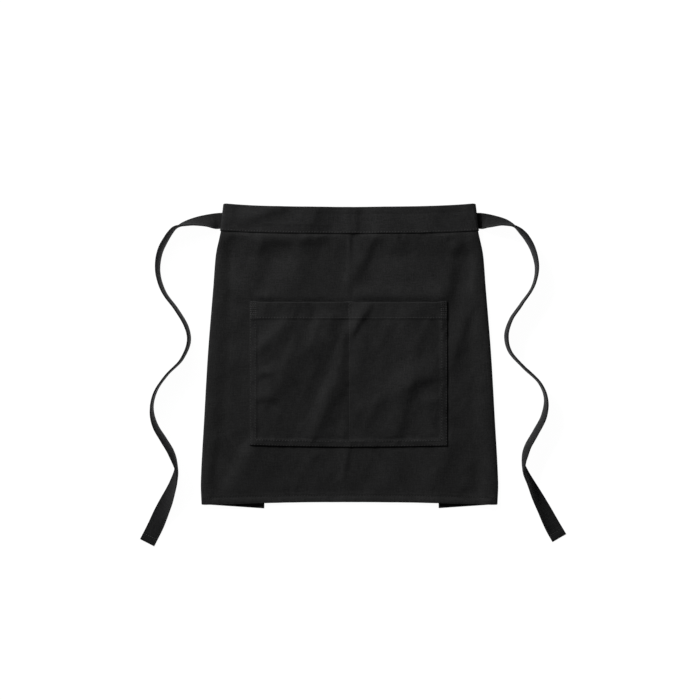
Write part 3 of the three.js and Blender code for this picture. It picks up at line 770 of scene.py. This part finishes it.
def pocket_height(x, y):
    """Height of the underside of the pocket's cloth, and the wall there."""
    from_side = from_pocket_sides(x)
    from_bottom = y - pocket_foot(x)
    from_top = POCKET_TOP - y
    from_seam = np.minimum(from_side, from_bottom)
    turned = step(POCKET_TURN + 0.0022, POCKET_TURN - 0.0014, from_seam)
    hem = on_pocket_hem(from_top)
    wall = CLOTH + TURNED * np.maximum(turned, hem)
    calm = step(0.002, 0.018, from_seam) * step(-0.004, 0.022, from_top)
    middle = step(0.001, 0.012, np.abs(x))
    relief = fold_height(POCKET_FOLDS, x, y) * calm * (0.85 + 0.15 * middle)
    relief += 0.9 * wrinkles(x + 0.3, y) * step(0, 0.01, from_seam)
    relief += creases("pocket_strip", x, y, from_seam - 0.5 * (INNER_SEAM + OUTER_SEAM))
    relief += creases("pocket_seam", x, y, from_seam - INNER_SEAM)
    relief += creases("pocket_hem", x, y, from_top - POCKET_HEM_SEAM)
    relief += creases("pocket_flat", x, y) * step(POCKET_HEM, 0.004, from_top)
    relief += creases("divider", x, y, np.abs(x) - 0.003)
    below_bar = step(BAR_HEIGHT, POCKET_HEM, from_top) * step(0.004, 0.008, from_bottom)
    relief -= groove(DIVIDER_GROOVE, x) * below_bar
    relief -= side_rows(from_side, from_bottom, from_top)
    hem_shadow = step(0.020, 0.008, from_side) + 0.7 * bell(x + 0.008, 0.012)
    relief += 0.0009 * hem_shadow * hem * step(0.014, 0.026, from_top)
    in_box = step(BOX_WIDTH + 0.001, BOX_WIDTH, from_side) * step(BOX_HEIGHT + 0.001, BOX_HEIGHT, from_top)
    base = front_height(x, down_at(x, y), y) + pocket_gap(x, y) + POCKET_LIFT
    return base + relief - BOX_SINK * in_box, wall


def pocket_edge_fall(x, y):
    """How far the rounded edges of the pocket have fallen at a place."""
    side = np.minimum(from_pocket_sides(x), y - pocket_foot(x))
    return np.maximum(rounded(side, POCKET_ROUND), 0.75 * rounded(pocket_mouth(x) - y, MOUTH_ROUND))


def pocket_top(x, y):
    z, wall = pocket_height(x, y)
    return z + wall - pocket_edge_fall(x, y)


def make_pocket(material):
    w, d = POCKET_RIGHT - POCKET_LEFT, POCKET_DEPTH
    seams = [0, OUTER_SEAM, INNER_SEAM, POCKET_TURN]
    x_spots = seams + [w - s for s in seams] + [-POCKET_LEFT]
    y_spots = [0, 0.001, POCKET_HEM_SEAM, POCKET_HEM] + [d - s for s in seams]
    xs = fine_near(w, 0.0019, 0.0004, x_spots, 0.0013) + POCKET_LEFT
    ys = POCKET_TOP - fine_near(d, 0.0021, 0.0004, y_spots, 0.0013)
    x, y = np.meshgrid(xs, ys)
    sag = (POCKET_TOP - pocket_mouth(x)) * np.clip(1 - (POCKET_TOP - y) / SAG_REACH, 0, 1)
    rise = (pocket_foot(x) - POCKET_BOTTOM) * np.clip(1 - (y - POCKET_BOTTOM) / FOOT_REACH, 0, 1)
    y = y - sag + rise
    z, _ = pocket_height(x, y)
    floor = panel_top(x, y) + CLEARANCE / 2
    upper = np.stack([x, y, pocket_top(x, y)], -1)
    lower = np.stack([x, y, np.maximum(z + 0.3 * pocket_edge_fall(x, y), floor)], -1)
    upper[..., 2] = np.maximum(upper[..., 2], lower[..., 2] + 0.0003)
    uv = np.stack([x, y], -1)
    return make_wall("pocket_cloth", upper, lower, uv, material)


def curve_through(points, count):
    """Evenly spaced places on a centripetal curve through points, and each one's row number."""
    first, last = 2 * points[0] - points[1], 2 * points[-1] - points[-2]
    p = np.vstack([first, points, last])
    samples, rows = [], []
    for k in range(1, len(p) - 2):
        gaps = np.sqrt(np.linalg.norm(np.diff(p[k - 1 : k + 3], axis=0), axis=1))
        t = np.concatenate([[0], np.cumsum(gaps)])
        share = np.linspace(0, 1, 40, endpoint=k == len(p) - 3)[:, None]
        x = blend(t[1], t[2], share)
        level = list(p[k - 1 : k + 3])
        for span, starts in ((1, (0, 1, 2)), (2, (0, 1)), (1, (1,))):
            shares = [(x - t[a]) / (t[a + span] - t[a]) for a in starts]
            level = [blend(a, b, s) for a, b, s in zip(level, level[1:], shares)]
        samples.append(level[0])
        rows.append(k - 1 + share[:, 0])
    samples, rows = np.concatenate(samples), np.concatenate(rows)
    run = run_along(samples)
    at = np.linspace(0, run[-1], count)
    return at_run(at, run, samples), np.interp(at, run, rows), at


def tie_middle(side, route, across):
    """The middle of a tie's cloth at its visible stations, for places across it, with the run."""
    exit_down = (BAND_HEIGHT - TIE_MARGIN - TIE_WIDTH) / LENGTH
    exit_x = float(half_width(exit_down)) + TIE_OUT
    exit_y = TOP_Y - exit_down * LENGTH + TOP_BOW
    spots = np.array([[side * (exit_x + r["out"] * TIE_REACH), exit_y - r["down"] * TIE_DROP] for r in route])
    places, rows, run = curve_through(spots, 330)
    heading = unit(np.gradient(places, axis=0))
    inward = np.stack([side * heading[:, 1], -side * heading[:, 0]], 1)
    table = [{**r, "at": i} for i, r in enumerate(route)]
    root = np.radians(np.maximum(read(table, "at", "root", rows), 0))
    tip = np.radians(np.maximum(read(table, "at", "tip", rows), 0))
    width = across[-1]
    # The slope goes from root to tip across the cloth, so a place is the sum of short steps.
    steps = 60
    fine = np.linspace(0, width, steps + 1)
    slope = blend(root[:, None], tip[:, None], (np.arange(steps) + 0.5) / steps)

    def summed(values):
        sums = np.cumsum(np.pad(values, ((0, 0), (1, 0))), 1) * width / steps
        return at_run(across, fine, sums.T).T

    flat, rise = summed(np.cos(slope)), summed(np.sin(slope))
    z0 = TIE_WALL / 2 * np.abs(np.cos(root))
    xy = places[:, None, :] + inward[:, None, :] * flat[..., None]
    points = np.concatenate([xy, (z0[:, None] + rise)[..., None]], -1)
    return points, run


def tie_hidden(side, across):
    """From inside the waistband's end, round it and back beneath it."""
    margin = (BAND_HEIGHT - SEAM_DEPTH + BAND_PLY - TIE_WIDTH) / 2
    middle = BAND_PLY + CLEARANCE + TIE_WALL / 2
    down = (margin + across) / LENGTH
    free_edge = 0.0 if side < 0 else 5.0
    depth = float(flap_depth(np.array(side), down[0]))

    def inside(reach):
        u = np.full(len(down), free_edge - side * reach / depth)
        return below_face(u, down, np.full(len(down), middle))

    edge, inner = inside(0.0), inside(TIE_ROOT)
    radius = (edge[0, 2] - TIE_WALL / 2) / 2
    heading = edge - inner
    heading[:, 2] = 0
    heading = unit(heading)
    rows = [inner, inside(TIE_ROOT / 2), edge]
    for angle in np.linspace(0, math.pi, 10):
        moved = edge + heading * (TIE_TURN + radius * math.sin(angle))
        moved[:, 2] -= radius * (1 - math.cos(angle))
        rows.append(moved)
    return np.array(rows)


def tie_surface(side, route, across):
    """Middle points of the whole tie, the unit normal toward its face, how far each station lies from the
    tie's end, and the run along its edge.
    """
    shown, run = tie_middle(side, route, across)
    hidden = tie_hidden(side, across)
    lead = [blend(hidden[-1], shown[0], s) for s in np.linspace(0, 1, 42)[1:-1]]
    middle = np.concatenate([hidden, np.array(lead), shown])
    along = np.gradient(middle, axis=0)
    cross = np.gradient(middle, axis=1)
    normal = unit(np.cross(along, cross)) * -side
    from_end = np.concatenate([np.full(len(middle) - len(run), 1.0), run[-1] - run])
    return middle, normal, from_end, run_along(middle[:, 0])


def make_tie(name, node, side, route, material, seed):
    width = TIE_WIDTH
    places = [0, 0.00015, 0.0004, 0.0008, 0.0014]
    inner = [0.003, 0.0055, 0.0085, 0.0115, 0.0145, 0.0175, 0.0195]
    stitched = [width - TIE_SEAM - 0.0006, width - TIE_SEAM, width - TIE_SEAM + 0.0006]
    rim = [width - p for p in places[::-1]]
    across = np.array(places + inner + stitched + rim)
    middle, normal, from_end, total = tie_surface(side, route, across)
    upright = (1 - np.abs(normal[:, len(across) // 2, 2])) * step(0.045, 0.075, total)
    wall = TIE_WALL + TIE_CURL * upright
    wall += TIE_END_TURNED * step(TIE_END_HEM + 0.003, TIE_END_HEM, from_end)
    edge = np.broadcast_to(np.minimum(across, width - across), middle.shape[:2])
    half = wall[:, None] / 2 - rounded(edge, TIE_ROUND) - rounded(from_end, TIE_END_ROUND)[:, None]
    half = np.maximum(half, THIN)
    from_seam = (across - (width - TIE_SEAM))[None, :]
    along = total[:, None]
    lift = creases("tie", along, across[None, :], seed=seed) + TIE_PUFF
    lift += creases("tie_seam", along, across[None, :], from_seam, seed)
    pressed = groove(TIE_GROOVE, from_seam) + groove(TIE_END_GROOVE, from_end - TIE_END_HEM + 0.002)[:, None]
    upper = on_table(middle + normal * (np.maximum(half - pressed, THINNEST) + lift)[..., None])
    lower = on_table(middle - normal * np.maximum(half - lift * 0.5, THINNEST)[..., None])
    if side > 0:
        upper, lower = upper[:, ::-1], lower[:, ::-1]
        across = across[::-1]
    uv = np.stack(np.broadcast_arrays(across[None, :], -total[:, None]), -1)
    piece = make_wall(name, upper, lower, uv, material)
    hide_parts(node)
    return piece


def make_stitches(name, places, headings, normals, lengths, material):
    """Short rounded threads whose ends dip into the cloth."""
    sides = 6
    share = np.array([-1, -0.72, 0, 0.72, 1])
    swell = np.array([0.35, 0.95, 1.15, 0.95, 0.35])
    lift = np.array([-1.3, 0.25, 0.75, 0.25, -1.3]) * THREAD
    t = unit(headings)
    n = unit(normals - t * (normals * t).sum(1, keepdims=True))
    b = np.cross(t, n)
    turn = np.linspace(0, 2 * math.pi, sides, endpoint=False)
    ring = np.stack([np.cos(turn), np.sin(turn)], 1) * THREAD
    centre = places[:, None] + t[:, None] * (share[None, :, None] * lengths[:, None, None] / 2)
    centre = centre + n[:, None] * lift[None, :, None]
    around = b[:, None, None] * ring[None, None, :, :1] + n[:, None, None] * ring[None, None, :, 1:] * 0.75
    points = centre[:, :, None] + around * swell[None, :, None, None]
    count, segments = len(places), len(share)
    i, j = np.meshgrid(np.arange(segments - 1), np.arange(sides), indexing="ij")
    a = i * sides + j
    c = i * sides + (j + 1) % sides
    quads = np.stack([a, c, c + sides, a + sides], -1).reshape(-1, 4)
    per = segments * sides
    faces = (quads[None] + np.arange(count)[:, None, None] * per).reshape(-1, 4).tolist()
    for k in range(count):
        faces.append([k * per + s for s in range(sides - 1, -1, -1)])
        faces.append([k * per + (segments - 1) * sides + s for s in range(sides)])
    run = np.linspace(0, 1, segments)[None, :, None] * lengths[:, None, None]
    run = run + np.arange(count)[:, None, None] * ROW[0]
    uv = np.stack(np.broadcast_arrays(run, turn[None, None] * THREAD), -1)
    points, uv = points.reshape(-1, 3), uv.reshape(-1, 2)
    return make_object(name, points, faces, uv, material, 80)


class Seam:
    """Gathers stitches that lie on a surface z = height(x, y)."""

    def __init__(self, height, seed):
        self.height = height
        self.rng = np.random.default_rng(seed)
        self.parts = []

    def row(self, start, end, size=ROW):
        """A row of stitches between two places."""
        self.line(np.array([start, end], float), size)

    def line(self, xy, size=ROW):
        """A row of stitches along a bent line of places."""
        pitch, stitch = size
        run = run_along(xy)
        count = int(round(run[-1] / pitch))
        at = (np.arange(count) + 0.5) / count * run[-1]
        behind, middle, ahead = (at_run(at + shift, run, xy) for shift in (-0.001, 0, 0.001))
        self.add(middle, unit(ahead - behind), stitch)

    def zigzag(self, low, high, size):
        """Slanting stitches side by side that fill an upright box."""
        (x0, y0), (x1, y1) = low, high
        lean, gap = size
        count = int(round((y1 - y0) / gap))
        rise = (x1 - x0) * math.tan(lean)
        y = y0 + (np.arange(count) + 0.5) * (y1 - y0) / count
        sign = np.where(np.arange(count) % 2 == 0, 1.0, -1.0)
        middle = np.stack([np.full(count, (x0 + x1) / 2), y], 1)
        heading = unit(np.stack([np.full(count, x1 - x0), rise * sign], 1))
        self.add(middle, heading, math.hypot(x1 - x0, rise), 0)

    def add(self, middle, heading, stitch, slant=SLANT):
        count = len(middle)
        sway = self.rng.uniform(-1, 1, (count, 3))
        middle = middle + sway[:, :2] * PLACE_SWAY
        side = np.stack([-heading[:, 1], heading[:, 0]], 1)
        heading = unit(heading + side * (math.tan(slant) + sway[:, 2:] * TURN_SWAY))
        length = stitch * (1 + LENGTH_SWAY * self.rng.uniform(-1, 1, count))
        x, y = middle.T
        e = 0.0008
        z = self.height(x, y)
        slope_x = (self.height(x + e, y) - self.height(x - e, y)) / (2 * e)
        slope_y = (self.height(x, y + e) - self.height(x, y - e)) / (2 * e)
        normal = unit(np.stack([-slope_x, -slope_y, np.ones(count)], 1))
        climb = heading[:, 0] * slope_x + heading[:, 1] * slope_y
        self.parts.append((np.stack([x, y, z], 1), np.column_stack([heading, climb]), normal, length))

    def make(self, name, material):
        places, headings, normals, lengths = (np.concatenate(p) for p in zip(*self.parts))
        return make_stitches(name, places, headings, normals, lengths, material)


def front_line(drop, reach):
    """Places across the front at a distance down from its top edge."""
    down = drop / LENGTH
    half = float(half_width(down))
    x = np.linspace(reach - half, half - reach, 200)
    y = TOP_Y - drop + bow(x / (half - FOLD_REACH), down)
    return np.stack([x, y], 1)


def make_side_row(seam, x, row):
    start = BOX_HEIGHT + (0.002 if row == INNER_SEAM else 0)
    seam.row((x, float(pocket_foot(x)) + row), (x, POCKET_TOP - start))


def make_left_stitches(material):
    """The rows down the pocket's left side and the bar at its middle, which catch less light, so they are
    given a darker copy of the thread as painted shade.
    """
    seam = Seam(pocket_top, 34)
    for row in (OUTER_SEAM, INNER_SEAM):
        make_side_row(seam, POCKET_LEFT + row, row)
    low, high = POCKET_TOP - BAR_TOP - BAR_HEIGHT, POCKET_TOP - BAR_TOP
    seam.zigzag((-BAR_WIDTH / 2, low), (BAR_WIDTH / 2, high), BAR_ZIGZAG)
    return seam.make("pocket_left_stitches", material)


def make_pocket_stitches(material):
    seam = Seam(pocket_top, 31)
    left, right, top, bottom = POCKET_LEFT, POCKET_RIGHT, POCKET_TOP, POCKET_BOTTOM
    seam_y = top - POCKET_HEM_SEAM
    seam.row((left + BOX_WIDTH, seam_y), (right - BOX_WIDTH, seam_y))
    for row in (OUTER_SEAM, INNER_SEAM):
        make_side_row(seam, right - row, row)
        x = np.linspace(left + row, right - row, 200)
        seam.line(np.stack([x, pocket_foot(x) + row], 1))
    seam.row((0, bottom + INNER_SEAM), (0, seam_y - 0.002), DIVIDER_ROW)
    for side, edge in ((-1, left), (1, right)):
        outer, inner = edge - side * BOX_EDGE, edge - side * BOX_WIDTH
        low, high = top - BOX_HEIGHT, top - BOX_TOP
        for start, end in (
            ((outer, low), (outer, high)),
            ((inner, low), (inner, high)),
            ((outer, high), (inner, high)),
            ((outer, low), (inner, low)),
        ):
            seam.row(start, end, BOX_ROW)
        column = (outer - inner) / 3
        for k in range(3):
            a, b = sorted((inner + column * k, inner + column * (k + 1)))
            seam.zigzag((a + 0.0003, low + 0.001), (b - 0.0003, high - 0.001), BOX_ZIGZAG)
    return seam.make("pocket_stitches", material)


def make_front_stitches(name, drop, size, seed, material):
    """A row across the front at a distance down from its top edge."""
    seam = Seam(panel_top, seed)
    seam.line(front_line(drop, 0.002), size)
    return seam.make(name, material)


def make_tie_stitches(name, side, route, material):
    """A row along the tie's stitched edge and one across its turned end."""
    pitch, stitch = TIE_ROW
    across = np.linspace(0, TIE_WIDTH, 47)
    middle, normal, from_end, _ = tie_surface(side, route, across)
    column = int(np.argmin(np.abs(across - (TIE_WIDTH - TIE_SEAM))))
    line, up = middle[:, column], normal[:, column]
    run = run_along(line)
    start = TIE_ROOT + 0.012
    count = int(round((run[-1] - start - 0.002) / pitch))
    at = start + (np.arange(count) + 0.5) * pitch
    normals = at_run(at, run, up)
    headings = at_run(at + 0.0008, run, line) - at_run(at - 0.0008, run, line)
    row = int(np.argmin(np.abs(from_end - (TIE_END_HEM - 0.002))))
    spots = np.arange(4, 44, 7)
    end_up = normal[row, spots]
    end_places = middle[row, spots] + end_up * (TIE_WALL / 2 + 0.0004)
    end_headings = middle[row, spots + 1] - middle[row, spots - 1]
    places = np.concatenate([at_run(at, run, line) + unit(normals) * TIE_WALL / 2, end_places])
    headings = np.concatenate([headings, end_headings])
    normals = np.concatenate([normals, end_up])
    lengths = np.full(count + len(spots), stitch)
    return make_stitches(name, places, headings, normals, lengths, material)


class Nodes:
    """Short words for building a material's nodes."""

    def __init__(self, name):
        self.material = bpy.data.materials.new(name)
        self.material.use_nodes = True
        self.tree = self.material.node_tree
        self.shader = self.tree.nodes["Principled BSDF"]

    def link(self, value, socket):
        if isinstance(value, bpy.types.NodeSocket):
            self.tree.links.new(value, socket)
        else:
            socket.default_value = value

    def fill(self, node, values):
        """Link or set a node's inputs by name; gives its first output."""
        for name, value in values.items():
            self.link(value, node.inputs[name])
        return node.outputs[0]

    def node(self, kind, *values, **settings):
        """A new node with its settings, its first inputs linked or set; gives its outputs."""
        node = self.tree.nodes.new(f"ShaderNode{kind}")
        for key, value in settings.items():
            setattr(node, key, value)
        for value, socket in zip(values, node.inputs):
            self.link(value, socket)
        return node.outputs

    def math(self, operation, *values, clamp=False):
        return self.node("Math", *values, operation=operation, use_clamp=clamp)[0]

    def total(self, *terms):
        """The sum of values, each times a share."""
        result = self.math("MULTIPLY", *terms[0])
        for value, share in terms[1:]:
            result = self.math("MULTIPLY_ADD", value, share, result)
        return result

    def cloth(self, x=1, y=1):
        """Places on the flat cloth, stretched."""
        place = self.node("UVMap", uv_map="cloth")[0]
        return self.node("VectorMath", place, (x, y, 1), operation="MULTIPLY")[0]

    def noise(self, vector, scale, detail=2.0, roughness=0.5):
        node = self.tree.nodes.new("ShaderNodeTexNoise")
        return self.fill(node, {"Vector": vector, "Scale": scale, "Detail": detail, "Roughness": roughness})

    def ramp(self, value, stops):
        node = self.tree.nodes.new("ShaderNodeValToRGB")
        self.link(value, node.inputs[0])
        ramp = node.color_ramp
        while len(ramp.elements) < len(stops):
            ramp.elements.new(0.5)
        for element, (place, tone) in zip(ramp.elements, stops):
            element.position = place
            element.color = (tone[0], tone[1], tone[2], 1)
        return node.outputs[0]

    def bump(self, height, distance, strength):
        node = self.tree.nodes.new("ShaderNodeBump")
        normal = self.fill(node, {"Height": height, "Distance": distance, "Strength": strength})
        self.fill(self.shader, {"Normal": normal})

    def colour(self, value, tone, stops):
        """Base colour from stops that give a place and a share of the tone."""
        stops = [(place, tuple(c * share for c in tone)) for place, share in stops]
        self.fill(self.shader, {"Base Color": self.ramp(value, stops)})


def canvas(name, tone):
    """Plain-woven cotton: threads over and under each other, uneven along their length."""
    turns = 2 * math.pi / 0.00062
    n = Nodes(name)
    x, y, _ = n.node("SeparateXYZ", n.cloth(turns, turns))
    weave = n.math("MULTIPLY", n.math("SINE", x), n.math("SINE", y))
    weave = n.math("MULTIPLY_ADD", weave, 0.5, 0.5)
    warp = n.noise(n.cloth(800, 60), scale=1.0, detail=1.0)
    weft = n.noise(n.cloth(60, 800), scale=1.0, detail=1.0)
    slub = n.math("MULTIPLY", n.math("ADD", warp, weft), 0.5)
    grain = n.noise(n.cloth(), scale=480, detail=2.0, roughness=0.6)
    patch = n.noise(n.cloth(), scale=30, detail=3.0, roughness=0.55)
    shade = n.total((weave, 0.2), (slub, 1.15), (grain, 1.3), (patch, 0.5))
    n.colour(n.math("SUBTRACT", shade, 1.07, clamp=True), tone, [(0.0, 0.3), (0.5, 1.0), (1.0, 1.8)])
    n.bump(n.total((weave, 0.7), (slub, 0.5), (grain, 0.35)), distance=0.00022, strength=0.8)
    n.fill(n.shader, {
        "Roughness": n.math("MULTIPLY_ADD", grain, 0.2, 0.58),
        "Specular IOR Level": 0.10,
        "Sheen Weight": 0.02,
        "Sheen Roughness": 0.45,
        "Sheen Tint": (0.8, 0.85, 1, 1),
    })
    return n.material


def thread(name, tone):
    """Twisted sewing thread."""
    n = Nodes(name)
    x, y, _ = n.node("SeparateXYZ", n.cloth(9000, 5000))
    twist = n.math("MULTIPLY_ADD", n.math("SINE", n.math("ADD", x, y)), 0.5, 0.5)
    fuzz = n.noise(n.cloth(), scale=1400)
    shade = n.total((twist, 0.4), (fuzz, 0.6))
    n.colour(shade, tone, [(0.2, 0.6), (0.8, 1.5)])
    n.bump(shade, distance=0.00008, strength=0.7)
    n.fill(n.shader, {"Roughness": 0.5, "Specular IOR Level": 0.25})
    return n.material


def make_floor(reach=60.0, z=-0.0002):
    """A white light table, so that nothing casts a shadow on it."""
    mesh = bpy.data.meshes.new("floor")
    corners = [(-reach, -reach, z), (reach, -reach, z), (reach, reach, z), (-reach, reach, z)]
    mesh.from_pydata(corners, [], [(0, 1, 2, 3)])
    n = Nodes("floor_white")
    place = n.tree.nodes.new("ShaderNodeTexCoord").outputs["Object"]
    n.colour(n.noise(place, scale=3.0), (1, 1, 1), [(0.3, 0.05), (0.7, 0.06)])
    n.fill(n.shader, {
        "Roughness": 0.9,
        "Specular IOR Level": 0.1,
        "Emission Color": (1, 1, 1, 1),
        "Emission Strength": 0.98,
    })
    mesh.materials.append(n.material)
    add_object("floor", mesh)


def toward_apron(place):
    """The turn that points a lamp at the apron's middle."""
    return (-Vector(place)).to_track_quat("-Z", "Y").to_euler()


def make_lamp(name, kind, place, power, **settings):
    """A lamp that shines toward the apron from a place; a sun's place is only its direction."""
    lamp = bpy.data.lights.new(name, kind)
    lamp.energy = power
    for key, value in settings.items():
        setattr(lamp, key, value)
    light = add_object(name, lamp)
    light.location = place
    light.rotation_euler = toward_apron(place)


def make_camera():
    data = bpy.data.cameras.new("camera")
    data.sensor_width = SENSOR
    data.lens = SENSOR * VIEW_HEIGHT / VIEW_WIDTH
    camera = add_object("camera", data)
    camera.location = (*VIEW_CENTRE, VIEW_PLANE + VIEW_HEIGHT)
    bpy.context.scene.camera = camera


def make_world(strength=0.09):
    world = bpy.data.worlds.new("studio")
    world.use_nodes = True
    background = world.node_tree.nodes["Background"]
    background.inputs["Color"].default_value = (1, 1, 1, 1)
    background.inputs["Strength"].default_value = strength
    scene = bpy.context.scene
    scene.world = world
    scene.view_settings.view_transform = "Standard"
    scene.view_settings.look = "None"


make_camera()
make_world()
make_floor()
make_lamp("key_light", "SUN", place=(-1.2, 1.2, 1.0), power=3.05, angle=math.radians(7))
make_lamp("top_light", "AREA", place=(-0.5, 1.0, 0.65), power=9.5, shape="DISK", size=0.7)

panel_canvas = canvas("panel_canvas", (0.0118, 0.0118, 0.0119))
band_canvas = canvas("band_canvas", (0.0120, 0.0120, 0.0122))
pocket_canvas = canvas("pocket_canvas", (0.0118, 0.0118, 0.0119))
tie_canvas = canvas("tie_canvas", (0.0098, 0.0098, 0.0100))
black_thread = thread("black_thread", (0.033, 0.033, 0.033))
# A darker copy of the same black thread: painted shade for stitches that catch less light.
painted_shade_thread = thread("painted_shade_thread", (0.011, 0.011, 0.011))

panel = make_panel(panel_canvas)
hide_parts("apron_panel")
band = make_waistband(band_canvas)
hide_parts("waistband")
pocket = make_pocket(pocket_canvas)
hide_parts("patch_pocket")
left_tie = make_tie("left_tie_cloth", "left_tie", -1, LEFT_TIE_ROUTE, tie_canvas, 41)
right_tie = make_tie("right_tie_cloth", "right_tie", 1, RIGHT_TIE_ROUTE, tie_canvas, 51)

hem_drop, band_drop = LENGTH - HEM_SEAM, BAND_HEIGHT - BAND_SEAM
# The hem's stitches and the pocket's left rows take the darker copy of the thread: painted shade.
hem_stitches = make_front_stitches("hem_stitches", hem_drop, HEM_ROW, 32, painted_shade_thread)
band_stitches = make_front_stitches("band_stitches", band_drop, BAND_ROW, 33, black_thread)
pocket_stitches = make_pocket_stitches(black_thread)
pocket_left_stitches = make_left_stitches(painted_shade_thread)
left_stitches = make_tie_stitches("left_tie_stitches", -1, LEFT_TIE_ROUTE, black_thread)
right_stitches = make_tie_stitches("right_tie_stitches", 1, RIGHT_TIE_ROUTE, black_thread)
